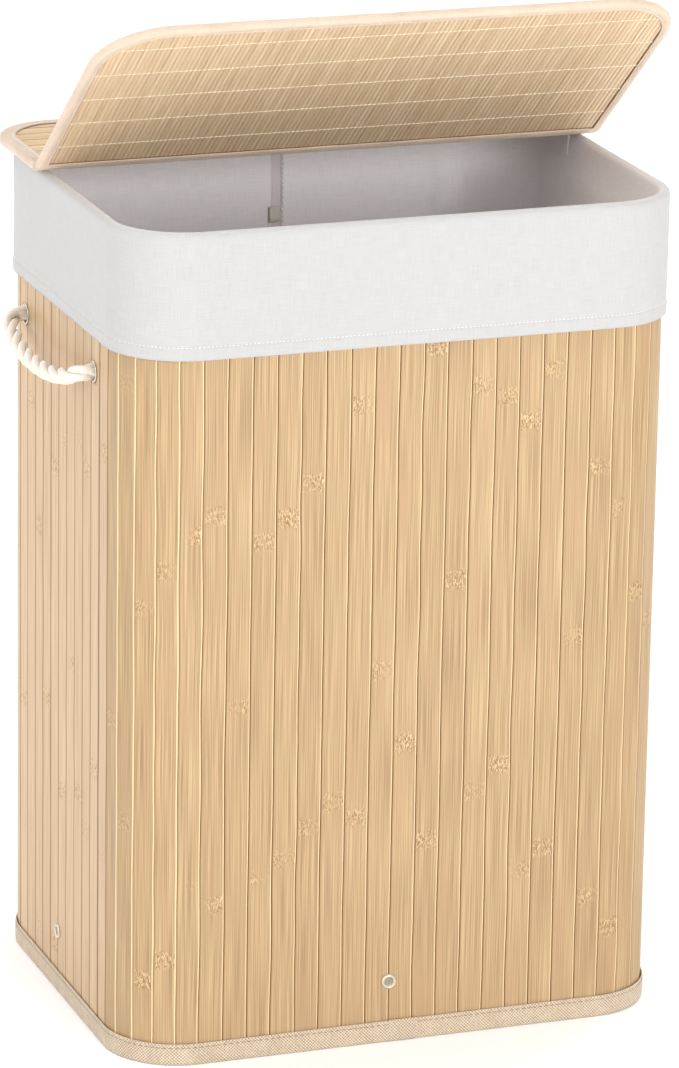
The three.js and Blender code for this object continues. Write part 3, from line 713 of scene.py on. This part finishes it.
def wall_joints():
    """The joints between slats, anticlockwise from the left end of the front."""
    flat_x, flat_y = HALF_X - CORNER, HALF_Y - CORNER
    sides = [
        ((-flat_x, -HALF_Y), (flat_x, -HALF_Y), FRONT_SLATS, (flat_x, -flat_y), -90),
        ((HALF_X, -flat_y), (HALF_X, flat_y), SIDE_SLATS, (flat_x, flat_y), 0),
        ((flat_x, HALF_Y), (-flat_x, HALF_Y), FRONT_SLATS, (-flat_x, flat_y), 90),
        ((-HALF_X, flat_y), (-HALF_X, -flat_y), SIDE_SLATS, (-flat_x, -flat_y), 180),
    ]
    joints = []
    for start, end, count, centre, angle in sides:
        joints += [Vector(start).lerp(Vector(end), k / count) for k in range(count)]
        for k in range(CORNER_SLATS):
            turn = math.radians(angle + 90 * k / CORNER_SLATS)
            joints.append(Vector(centre) + Vector((math.cos(turn), math.sin(turn))) * CORNER)
    return joints


def bore_holes(piece, side):
    """The two holes in a side's slats that the handle's eyelets line."""
    for y in EYELET_Y:
        bpy.ops.mesh.primitive_cylinder_add(
            vertices=32, radius=EYELET_HOLE, depth=20 * MM, location=(side * HALF_X, y, HANDLE_Z),
            rotation=(0, QUARTER, 0),
        )
        cutter = bpy.context.object
        cut = piece.modifiers.new("eyelet_hole", "BOOLEAN")
        cut.operation, cut.solver, cut.object = "DIFFERENCE", "EXACT", cutter
        with bpy.context.temp_override(object=piece, active_object=piece):
            bpy.ops.object.modifier_apply(modifier=cut.name)
        bpy.data.objects.remove(cutter)


def add_wall():
    rng = random.Random(WALL_SEED)
    joints = wall_joints()
    waves = [wave(rng, SLAT_WANDER) for _ in joints]
    half = FRONT_SLATS // 2
    height = SLAT_HIGH - SLAT_LOW
    panels = [
        ("slat_wall_front", FRONT_SLATS), ("slat_corner_front_right", CORNER_SLATS),
        ("slat_wall_right", SIDE_SLATS), ("slat_corner_back_right", CORNER_SLATS),
        ("slat_wall_back_right", half), ("slat_wall_back_left", FRONT_SLATS - half),
        ("slat_corner_back_left", CORNER_SLATS), ("slat_wall_left", SIDE_SLATS),
        ("slat_corner_front_left", CORNER_SLATS),
    ]
    first = 0
    for node, count in panels:
        shape = Shape()
        # On these panels the painted shade goes on each slat's right edge and the painted highlight
        # on its left edge.
        swap = node in ("slat_wall_left", "slat_corner_back_left", "slat_wall_right")
        for i in range(first, first + count):
            after = (i + 1) % len(joints)
            start = joints[i]
            width = (joints[after] - start).length
            side = (joints[after] - start).normalized()
            out = Vector((side.y, -side.x))

            def at(across, share, outward):
                point = start + side * across + out * outward
                return Vector((point.x, point.y, SLAT_LOW + share * height))

            add_slat(
                shape, rng, at, height, waves[i], lambda along: width + waves[after](along),
                SLAT_THICKNESS, SIDE_EDGE if swap else WALL_EDGE, swap,
            )
        # The front and its corners take the copy painted darker, and the other panels take the one
        # painted lighter.
        panel = shape.build(node + "_bamboo", BAMBOO_FRONT_PAINTED_SHADE if "front" in node else BAMBOO_SIDE_PAINTED_LIGHT)
        finish_piece(panel, "body", "bamboo", node)
        if node in ("slat_wall_left", "slat_wall_right"):
            bore_holes(panel, -1 if node.endswith("left") else 1)
        first += count


add_wall()

# ---- bottom binding ----


def add_bottom_binding():
    columns = wall_outline(5 * MM)
    profile = in_metres([
        (0.3, 15.6), (0.8, 16.1), (1.3, 15.7), (1.45, 14.4), (1.25, 13.2), (1.5, 11.5), (1.6, 8),
        (1.5, 4), (1.3, 1.4), (0.7, 0.35), (-0.4, 0), (-2.8, 0), (-3.9, 0.4), (-4.4, 1.4),
        (-4.5, 6), (-4.4, 12.6), (-3.9, 13.1), (-3.45, 12.6), (-3.45, 1.8), (-2.8, 1.2),
        (-0.4, 1.2), (0.3, 1.9),
    ])
    shape = Shape()
    shape.grid(
        [[offset_point(c, outward, z) for c in columns] for outward, z in profile],
        running([point for point, _ in columns]),
        running(profile), closed=True, looped=True,
    )
    piece = shape.build("bottom_binding_tape", BINDING)
    finish_piece(piece, "body", "binding_tape", "bottom_binding")

    # The tape's end is lapped over its start, near the middle of the front.
    lap = Shape()
    front = [
        (Vector((x * MM, -HALF_Y)), Vector((0, -1))) for x in (-9, -8.4, -4, 2, 8, 11.4, 12)
    ]
    dips = [0.7 * MM, 0, 0, 0, 0, 0, 0.7 * MM]
    profile = [
        (0.9, 16.4), (1.9, 16.6), (2.1, 14.5), (1.95, 13.2), (2.2, 8), (2.0, 2), (1.2, 0.5),
        (0.2, 0.4),
    ]
    rows = [
        [offset_point(c, outward - dip, z) for c, dip in zip(front, dips)]
        for outward, z in in_metres(profile)
    ]
    lap.grid(rows, [c[0].x for c in front], running([row[1] for row in rows], closed=False))
    finish_piece(lap.build("bottom_binding_lap", BINDING), "body", "binding_tape")

    closed = columns + columns[:1]
    line = [offset_point(c, 1.35 * MM, 13.2 * MM) for c in closed]
    # The stitches' dark brown thread is partly painted shade.
    sew(
        "bottom_binding_stitches", [(line, normals(closed))], (4.4, 3.0, 0.55, 0.25),
        BROWN_THREAD_PAINTED_SHADE, "body", "binding_tape",
    )


add_bottom_binding()

# ---- liner ----

CUFF_OUT = 2.3 * MM
BAG_OUT = -7.5 * MM
RIM_INSIDE = -5.1 * MM
FLOOR_Z = 35.2 * MM
SEAM_X = 6.5 * MM
CREASE_X = 132 * MM


def slope(value, low, high):
    share = min(1.0, max(0.0, (value - low) / (high - low)))
    return share * share * (3 - 2 * share)


def bag_offset(column, z):
    """How far outward from the slats' faces the bag's side hangs, at a height."""
    point, out = column
    corner = abs(out.x * out.y) * 2
    inside = slope(z, 582 * MM, 566 * MM)
    offset = RIM_INSIDE + (BAG_OUT - RIM_INSIDE) * inside
    offset -= 8 * MM * corner * slope(z, 575 * MM, 545 * MM)
    slack = slope(z, 588 * MM, 430 * MM)
    place = Vector((point.x * 14, point.y * 14, z * 3.2))
    offset -= 5.5 * MM * slack * (0.5 + 0.5 * noise.noise(place))
    offset -= 0.7 * MM * (0.5 + 0.5 * noise.noise(place * 4.1)) * slope(z, 596 * MM, 580 * MM)
    if abs(out.x) > 0.9:  # the ropes' stopper knots push the bag inward
        for y in EYELET_Y:
            away = ((point.y - y) ** 2 + (z - HANDLE_Z) ** 2) / (15 * MM) ** 2
            offset -= 21 * MM * math.exp(-0.5 * away)
    if out.y > 0.7:  # a crease in the back
        offset -= 3 * MM * inside * math.exp(-(((point.x - CREASE_X) / (3 * MM)) ** 2))
    return offset


def cuff_offset(column, z):
    """How far outward from the slats' faces the turned-down cuff lies, at a height."""
    point = column[0]
    place = Vector((point.x * 9, point.y * 9, z * 6))
    soft = 0.9 * MM * noise.noise(place) * slope(z, 599 * MM, 560 * MM)
    hem = 0.35 * MM if z < CUFF_LOW + HEM else 0
    groove = -0.45 * MM * math.exp(-(((z - CUFF_LOW - HEM) / (0.9 * MM)) ** 2))
    return CUFF_OUT + soft + hem + groove


def add_liner():
    """One sheet from the cuff's hem over the rim, down the bag's side and over its floor."""
    columns = wall_outline(4 * MM)
    fold_z = RIM_Z - 3.5 * MM
    hem_steps = (0, 2, 4, 6, 7.5, 8.2, 9, 9.8, 10.6, 12.5)
    heights = [CUFF_LOW + k * MM for k in hem_steps]
    start, steps = CUFF_LOW + hem_steps[-1] * MM, 22
    heights += [start + (fold_z - start) * k / steps for k in range(1, steps + 1)]
    rows = [[offset_point(c, cuff_offset(c, z), z) for c in columns] for z in heights]
    rim_row = len(rows)
    outer = 2 * MM
    middle, half = (outer + RIM_INSIDE) / 2, (outer - RIM_INSIDE) / 2
    for turn in (math.pi * k / 8 for k in range(1, 8)):
        outward, z = middle + half * math.cos(turn), fold_z + 2.9 * MM * math.sin(turn)
        rows.append([offset_point(c, outward, z) for c in columns])
    bend = 12 * MM  # radius of the fold from the side to the floor
    z = 596 * MM
    while z > FLOOR_Z + bend:
        rows.append([offset_point(c, bag_offset(c, z), z) for c in columns])
        z -= 6 * MM
    for turn in (QUARTER * k / 4 for k in range(1, 5)):
        z = FLOOR_Z + bend * (1 - math.sin(turn))
        inward = 9 * MM * (1 - math.cos(turn))
        rows.append([
            offset_point(c, bag_offset(c, FLOOR_Z + 14 * MM) - inward, z) for c in columns
        ])
    edge = rows[-1]
    for k in (0.15, 0.3, 0.45, 0.6, 0.75, 0.9, 0.98):
        rows.append([
            Vector((p.x * (1 - k), p.y * (1 - k), p.z + 0.5 * MM * noise.noise(p * 30 * (1 - k))))
            for p in edge
        ])
    # The marks' tone turns over the rim from the cuff's tint to the inside's, which is painted
    # lighter to stand in for the shade inside the bag.
    shape = Shape()
    shape.grid(
        rows, running([point for point, _ in columns]),
        running([row[0] for row in rows], closed=False), closed=True,
        marks=lambda i, j: (slope(i, rim_row, rim_row + 7), 1.0),
    )
    shape.cap((len(rows) - 1) * len(columns), len(columns), marks=(1.0, 1.0))
    liner = thicken(shape.build("liner_bag", COTTON), CLOTH)
    finish_piece(liner, "body", "cotton", "cotton_liner")

    closed, z = columns + columns[:1], CUFF_LOW + HEM
    line = [offset_point(c, cuff_offset(c, z) + 0.4 * MM, z) for c in closed]
    sew(
        "liner_hem_stitches", [(line, normals(closed))], (3.0, 2.2, 0.5, 0.15), WHITE_THREAD,
        "body", "cotton",
    )


def on_bag(wall, x, y, z, lift):
    """A place on the inside of the bag by the back or the right wall, lifted off the cloth."""
    column = (Vector((x, HALF_Y)), Vector((0, 1)))
    if wall == "right":
        column = (Vector((HALF_X, y)), Vector((1, 0)))
    return offset_point(column, bag_offset(column, z) - lift, z)


def add_liner_seam():
    """The bag's sewn seam down the back, with its stitches and a small blank label."""
    top = 592 * MM
    section = [
        (-5.2, 0), (-4.4, 0.4), (-3, 0.6), (-1.2, 0.5), (0.2, 0.8), (0.9, 0.9), (1.4, 0.3),
        (2.0, 0.2), (4.0, 0.2), (4.4, 0),
    ]
    heights = [top - k * 2 * MM for k in range(272)]
    rows = []
    for z in heights:
        row = []
        for x, lift in section:
            ruffle = 1 + 0.6 * noise.noise(Vector((x * 0.3, 0, z * 260)))
            row.append(on_bag("back", SEAM_X + x * MM, 0, z, 0.4 * MM + lift * MM * ruffle))
        rows.append(row)
    shape = Shape()
    # The marks' tone puts painted shade along the ridge, left of the stitches, and darker painted
    # shade under the stitches.
    shape.grid(
        rows, [x * MM for x, _ in section], [top - z for z in heights],
        marks=lambda i, j: (0.0 if section[j][0] < 1.4 else 1.0, 1.0),
    )
    finish_piece(shape.build("liner_seam", SEAM_PAINTED_SHADE), "body", "cotton")
    line = [on_bag("back", SEAM_X + 3 * MM, 0, z, 0.6 * MM) for z in heights]
    sew(
        "liner_seam_stitches", [(line, Vector((0, -1, 0)))], (3.6, 2.3, 1.5, 0.7),
        WHITE_THREAD, "body", "cotton",
    )
    rows = []
    for k in range(7):
        x = SEAM_X + 1 * MM - 8 * MM * k / 6
        curl = 1.3 * MM * (k / 6) ** 1.5
        rows.append([on_bag("back", x, 0, z * MM, 1.8 * MM + curl) for z in (536, 532, 528, 524)])
    label = Shape()
    label.grid(rows, [4 * MM * k for k in range(4)], [MM * k for k in range(7)])
    finish_piece(thicken(label.build("liner_label", LABEL), STRIP), "body", "cotton")


def add_liner_tab():
    """A small folded tab of the liner's cloth, sewn inside the rim on the right."""
    fold = [(597, 0.2), (594, 0.5), (590, 0.8), (586, 0.9), (583, 0.7), (582, 0.2)]
    places = (53, 55, 58, 61, 63)
    shape = Shape()
    shape.grid(
        [
            [on_bag("right", 0, y * MM, z * MM, (0.5 + lift) * MM) for y in places]
            for z, lift in fold
        ],
        [(y - places[0]) * MM for y in places], [(596 - z) * MM for z, _ in fold],
        marks=lambda i, j: (1.0, 1.0),
    )
    finish_piece(thicken(shape.build("liner_tab", COTTON), CLOTH), "body", "cotton")


add_liner()
add_liner_seam()
add_liner_tab()

# ---- metal fittings ----


def turned_piece(name, profile, place, hollow, darker_within=0.0, segments=40):
    """A solid of revolution about its place's Z, from a profile of (radius, height). Its metal is
    darker inside the given radius."""
    turns = [2 * math.pi * k / segments for k in range(segments)]
    rows = [
        [place @ Vector((r * math.cos(a), r * math.sin(a), h)) for a in turns] for r, h in profile
    ]
    across = [k / segments for k in range(segments + 1)]
    along = running(profile)
    tones = [1.0 if r < darker_within and h > 0 else 0.0 for r, h in profile]
    shape = Shape()
    shape.grid(
        rows, across, along, closed=True, looped=hollow,
        marks=lambda i, j: (tones[i % len(tones)], 1.0),
    )
    if not hollow:
        shape.cap(0, segments, marks=(1.0, 1.0))
        shape.cap((len(rows) - 1) * segments, segments, reverse=True)
    return shape.build(name, NICKEL)


def on_wall(side, along, z):
    """A frame on a wall's face whose Z points outward."""
    axis, degrees, place = {
        "front": ("X", 90, (along, -HALF_Y, z)), "back": ("X", -90, (along, HALF_Y, z)),
        "right": ("Y", 90, (HALF_X, along, z)), "left": ("Y", -90, (-HALF_X, along, z)),
    }[side]
    return Matrix.Translation(place) @ Matrix.Rotation(math.radians(degrees), 4, axis)


def add_fittings():
    eyelet = in_metres([
        (6.3, 0.3), (6.4, 0.8), (6.7, 1.0), (7.1, 0.95), (7.5, 0.6), (7.7, 0.25), (7.4, 0.2),
        (6.8, 0.2), (6.8, -3.4), (8.0, -3.4), (8.0, -4.0), (7.5, -4.2), (6.6, -4.2), (6.3, -3.8),
    ])
    for side in ("left", "right"):
        for end, y in zip(("front", "back"), EYELET_Y):
            place = on_wall(side, y, HANDLE_Z)
            piece = turned_piece(f"eyelet_{side}_{end}", eyelet, place, hollow=True)
            finish_piece(piece, "body", "nickel", f"handle_eyelet_{side}_{end}")
    rivet = in_metres([
        (0.2, 0.5), (1.4, 0.5), (2.6, 0.5), (3.3, 0.55), (3.6, 0.9), (3.9, 1.3), (4.4, 1.4),
        (4.9, 1.1), (5.1, 0.7), (5.4, 0.45), (5.4, 0.25), (2.4, 0.25), (2.4, -6.4), (3.4, -6.5),
        (3.5, -6.9), (2.4, -7.2),
    ])
    for side in ("front", "back", "left", "right"):
        low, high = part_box(f"base_rivet_{side}")
        centre = (low + high) / 2
        place = on_wall(side, centre.x if side in ("front", "back") else centre.y, centre.z)
        piece = turned_piece(f"rivet_{side}", rivet, place, hollow=False, darker_within=3.5 * MM)
        finish_piece(piece, "body", "nickel", f"base_rivet_{side}")


add_fittings()

# ---- lid ----


def about_fold(angle):
    """A turn about the fold's axis that lifts what is in front of it."""
    return Matrix.Translation(FOLD) @ Matrix.Rotation(-angle, 4, "X") @ Matrix.Translation(-FOLD)


class LidPart:
    """The flap or the rear part: its outline, where its pieces go, the seeds of its slats and
    reeds, and its rows of reed thread as the first one's distance from the fold and their count.
    Everything on the flap is made in the shut lid's place and then turned up about the fold."""

    def __init__(self, name, direction, far, turn, seeds, threads):
        self.name, self.body, self.direction, self.far = name, "lid_" + name, direction, far
        self.turn, self.seeds, self.threads = turn, seeds, threads
        self.near = FOLD.y + direction * 0.3 * MM
        low, high = sorted((self.near, far))
        round_low, round_high = (LID_CORNER, 0) if direction < 0 else (0, LID_CORNER)
        x = LID_HALF_X
        self.corners = [
            ((x, high), round_high), ((-x, high), round_high), ((-x, low), round_low),
            ((x, low), round_low),
        ]

    def place(self, x, y, z):
        """A place on the shut lid, z over its underside, turned with the part."""
        return self.turn @ Vector((x, y, LID_UNDERSIDE + z))

    def up(self, sign):
        return (self.turn.to_3x3() @ Vector((0, 0, sign))).normalized()

    def rounding(self, past, inset):
        """How far the edge has come in at a corner, past where its arc starts."""
        radius = LID_CORNER - inset
        past = min(max(past, 0.0), radius)
        return LID_CORNER - math.sqrt(max(0.0, radius**2 - past**2))

    def half_width(self, y, inset):
        """How far the outline, drawn in by inset, reaches from the middle at a given y."""
        return LID_HALF_X - self.rounding(self.direction * (y - self.far) + LID_CORNER, inset)

    def reach(self, x, inset):
        """The y of the far edge, drawn in by inset, at a given x."""
        past = abs(x) - (LID_HALF_X - LID_CORNER)
        return self.far - self.direction * self.rounding(past, inset)


FLAP = LidPart("flap", -1, LID_FRONT_Y, about_fold(FLAP_ANGLE), (23, 37), (179, 5))
REAR = LidPart("rear", 1, LID_BACK_Y, Matrix.Identity(4), (29, 41), (107, 3))


def add_lid_binding(part):
    """The tape round the part's edge, and its seams on the top and underneath."""
    high = LID_THICKNESS / MM
    profile = [
        (7.5, 0.9), (7.4, 0.25), (6.9, 0), (6.2, 0.15), (5.7, 0.4), (5.2, 0.15), (4.2, 0), (3, 0),
        (1.3, 0.5), (0.35, 1.6), (0, 3.4), (0.35, high - 1.6), (1.3, high - 0.5), (3, high),
        (7, high), (9.0, high - 0.15), (9.6, high - 0.4), (10.2, high - 0.1), (11.2, high),
        (11.9, high - 0.3), (12, high - 0.9), (3, high - 0.9), (2.4, high / 2), (3, 0.9),
    ]
    columns = outline(part.corners, 4 * MM)
    rows = []
    for inset, z in profile:
        row = []
        for point in (column[0] - column[1] * inset * MM for column in columns):
            ripple = 0.25 * MM * noise.noise(Vector((point.x * 55, point.y * 55, z * 0.3)))
            row.append(part.place(point.x, point.y, z * MM + (ripple if 0 < z < high else 0)))
        rows.append(row)
    shape = Shape()
    shape.grid(
        rows, running([point for point, _ in columns]),
        running(in_metres(profile)), closed=True, looped=True,
    )
    piece = shape.build(f"lid_{part.name}_edge_tape", SATIN)
    finish_piece(piece, part.body, "binding_tape", f"lid_{part.name}_binding")

    for side, z, inset, sign, material in (
        ("top", high - 0.4, 9.6, 1, WHITE_THREAD), ("under", 0.4, 5.7, -1, PEACH_THREAD),
    ):
        points = [column[0] - column[1] * inset * MM for column in columns + columns[:1]]
        line = [part.place(point.x, point.y, z * MM) for point in points]
        sew(
            f"lid_{part.name}_stitches_{side}", [(line, part.up(sign))],
            (3.6, 2.7, 0.8, 0.3), material, part.body, "binding_tape",
        )


def add_lid_slats(part):
    rng = random.Random(part.seeds[0])
    inset = 3.2 * MM
    length = abs(part.far - part.near) - 2 * inset
    count = round(length / LID_SLAT_PITCH)
    pitch = length / count
    waves = [wave(rng, 0.35 * MM) for _ in range(count + 1)]
    waves[0] = waves[-1] = lambda along: 0.0
    top = LID_THICKNESS - 1.1 * MM
    shape = Shape()
    for k in range(count):
        start = part.near + part.direction * (inset + pitch * k)

        def at(across, share, out):
            y = start + part.direction * across
            x = (2 * share - 1) * part.half_width(y, inset) * part.direction
            return part.place(x, y, top + out)

        add_slat(
            shape, rng, at, 2 * LID_HALF_X, waves[k], lambda along: pitch + waves[k + 1](along),
            LID_SLAT_THICKNESS, LID_EDGE,
        )
    piece = shape.build(f"lid_{part.name}_bamboo", BAMBOO_LID_PAINTED_LIGHT)
    finish_piece(piece, part.body, "bamboo", f"lid_{part.name}_slats")


def add_reed_mat(part):
    """Fine reeds side by side, held together by rows of thread that run parallel to the fold."""
    rng = random.Random(part.seeds[1])
    inset, covered = 4 * MM, 3.5 * MM  # the reeds' ends, and how far the tape covers them
    half = LID_HALF_X - inset
    count = round(2 * half / REED_PITCH)
    pitch = 2 * half / count
    middle, depth = 1.4 * MM, 0.3 * MM
    first_thread, thread_rows = part.threads
    section = [
        (1, 0), (0.92, -0.45), (0.6, -0.85), (0, -1), (-0.6, -0.85), (-0.92, -0.45), (-1, 0),
        (-0.9, 0.6), (0.9, 0.6),
    ]
    shape, threads = Shape(), Shape()
    for k in range(count):
        x = -half + pitch * (k + 0.5)
        size = pitch / 2 * rng.uniform(0.94, 0.985)
        tone = rng.uniform(-1, 1)
        start, end = part.near + part.direction * inset, part.reach(x, inset)
        shift = (rng.uniform(0, 5), rng.uniform(0, 5))
        bend, phase = rng.uniform(0, 0.12) * MM, rng.uniform(0, 6.28)
        length = abs(end - start)
        ends = (0.0, covered, covered + 2 * MM)
        stops = [*ends, *(length * i / 8 for i in range(1, 8)), *(length - e for e in ends)]
        stops = sorted({min(max(stop, 0.0), length) for stop in stops})
        rows, from_tape = [], []
        for stop in stops:
            y = start + part.direction * stop
            sway = bend * math.sin(45 * stop + phase)
            rows.append([
                part.place(x + sway + a * size, y, middle + b * depth) for a, b in section
            ])
            # Distance from the tape's edge, which places the painted shade along the tape.
            from_tape.append([
                min(abs(y - start), abs(end - y), half - abs(x + a * size)) - covered
                for a, _ in section
            ])
        spread = running([(a * size, b * depth) for a, b in section])
        shape.grid(
            rows, [a + shift[0] for a in spread], [stop + shift[1] for stop in stops], closed=True,
            marks=lambda i, j: (tone, from_tape[i][j % len(section)]),
            edges=lambda i, j: ((1 + section[j][0]) * size, (1 - section[j][0]) * size),
        )
        for index in range(thread_rows):
            y = FOLD.y + part.direction * (first_thread * MM - THREAD_PITCH * index)
            if (end - y) * part.direction >= 4 * MM:
                line = [part.place(x + a * pitch / 2, y, middle - depth) for a in (-1, 1)]
                outs = [part.up(-1)] * 2
                add_stitches(threads, line, outs, pitch, 0.97 * pitch, 0.8 * MM, 0.4 * MM)
    piece = shape.build(f"lid_{part.name}_reeds", REED)
    finish_piece(piece, part.body, "reed", f"lid_{part.name}_reed_mat")
    piece = threads.build(f"lid_{part.name}_reed_threads", CREAM_THREAD)
    finish_piece(piece, part.body, "reed")


def folded_strip(name, route, half_x):
    """A strip of cloth along X whose section follows a route of places in the Y-Z plane."""
    count = round(2 * half_x / (6 * MM))
    xs = [half_x * (2 * k / count - 1) for k in range(count + 1)]
    rows = [[Vector((x, y, z)) for x in xs] for y, z in route]
    shape = Shape()
    shape.grid(rows, xs, running(route, closed=False))
    return thicken(shape.build(name, PLAIN_TAPE), STRIP)


def add_fold_cloth():
    """The tape over the fold, which bends from the rear part to the raised flap."""
    top = LID_UNDERSIDE + LID_THICKNESS + 0.6 * MM
    bend, half_width, steps = 5 * MM, 14.3, 24
    route = []
    for k in range(steps + 1):
        d = (half_width - 2 * half_width * k / steps) * MM
        place = about_fold(FLAP_ANGLE * slope(d, bend, -bend)) @ Vector((0, FOLD.y + d, top))
        route.append((place.y, place.z))
    cloth = folded_strip("lid_fold_cloth", route, LID_HALF_X - 2.5 * MM)
    finish_piece(cloth, None, "binding_tape", "lid_rear_fold_tape", "lid_flap_fold_tape")
    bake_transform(cloth)
    for part in (REAR, FLAP):
        y, z = FOLD.y + part.direction * 11.5 * MM, LID_THICKNESS + 0.95 * MM
        line = [part.place(x * MM, y, z) for x in range(-210, 211, 6)]
        sew(
            f"fold_cloth_stitches_{part.name}", [(line, part.up(1))], TAPE_STITCH,
            WHITE_THREAD, part.body, "binding_tape",
        )


def add_back_hinge():
    """The cloth that runs up the back of the cuff and bends under the lid's rear edge."""
    leaf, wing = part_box("back_hinge_leaf_body"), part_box("back_hinge_leaf_lid")
    y, z = (leaf[0].y + leaf[1].y) / 2, (wing[0].z + wing[1].z) / 2
    rise = leaf[1].z - 3 * MM - leaf[0].z
    route = [(y, leaf[0].z + rise * k / 8) for k in range(9)]
    bend = 1.6 * MM
    for turn in (QUARTER * k / 4 for k in range(1, 5)):
        route.append((y + bend * (1 - math.cos(turn)), z - bend + bend * math.sin(turn)))
    route += [(wing[1].y - 2.5 * MM, z), (wing[1].y, z)]
    cloth = folded_strip("back_hinge_cloth", route, leaf[1].x)
    finish_piece(cloth, None, "binding_tape", "back_hinge_leaf_body", "back_hinge_leaf_lid")
    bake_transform(cloth)
    lines = []
    for height in (leaf[0].z + 3 * MM, leaf[1].z - 12 * MM):
        line = [Vector((x * MM, leaf[1].y + 0.1 * MM, height)) for x in range(-137, 138, 6)]
        lines.append((line, Vector((0, 1, 0))))
    sew("back_hinge_stitches", lines, TAPE_STITCH, WHITE_THREAD, "body", "binding_tape")


for lid_part in (REAR, FLAP):
    add_lid_binding(lid_part)
    add_lid_slats(lid_part)
    add_reed_mat(lid_part)
add_fold_cloth()
add_back_hinge()

# ---- finishes of the CAD pieces that stay ----


def finish_cad_nodes():
    finishes = {
        "wall_backing_cloth": CAD_TAPE, "top_binding": CAD_TAPE, "back_seam_tape": CAD_TAPE,
        "liner_hook_strip": CAD_COTTON, "base_board": BOARD, "base_bar": STEEL,
        "base_centre_rivet": NICKEL, "rivet_washer": NICKEL, "corner_rod": STEEL,
        "rod_sleeve": CAD_TAPE, "rope_knot": CAD_ROPE,
    }
    for name, node in frame["nodes"].items():
        for start, material in finishes.items():
            if name.startswith(start):
                node.data.materials.clear()
                node.data.materials.append(material)


finish_cad_nodes()

# ---- floor and light ----


def add_light(name, kind, energy, **settings):
    data = bpy.data.lights.new(name, kind)
    data.energy = energy
    for key, value in settings.items():
        setattr(data, key, value)
    light = bpy.data.objects.new(name, data)
    bpy.context.scene.collection.objects.link(light)
    return light


def add_stage():
    bpy.ops.mesh.primitive_plane_add(size=30, location=(0, 0, 0))
    floor = bpy.context.object
    floor.name = "floor"
    s = Surface("floor_white", Roughness=0.9, Specular_IOR_Level=0.1)
    s.colour(srgb(252, 252, 252))
    floor.data.materials.append(s.material)

    world = bpy.data.worlds.new("soft_white")
    world.use_nodes = True
    colour, strength = world.node_tree.nodes["Background"].inputs[:2]
    colour.default_value, strength.default_value = (1, 1, 1, 1), 0.27
    bpy.context.scene.world = world
    bpy.context.scene.view_settings.view_transform = "Standard"

    # Each light's level is how bright it makes a white surface that faces it, at the hamper.
    overhead = add_light("overhead", "SUN", 0.7 * math.pi, angle=math.radians(80))
    overhead.rotation_euler.x = math.radians(-12)
    for name, place, size, level in (
        ("front_high", (0.7, -3.8, 1.4), 1.5, 0.66),
        ("front_low", (0.3, -3.3, 0.35), 1.2, 0.1),
        ("side_left", (-3.3, -0.6, 1.5), 1.4, 0.36),
        ("back_left", (-2.2, 2.4, 2.0), 1.6, 0.2),
        ("back_right", (2.4, 2.2, 1.8), 1.6, 0.3),
    ):
        aim = Vector((0, 0, 0.35)) - Vector(place)
        light = add_light(name, "AREA", level * (math.pi * aim.length) ** 2, size=size)
        light.location = place
        light.rotation_euler = aim.to_track_quat("-Z", "Y").to_euler()


add_stage()
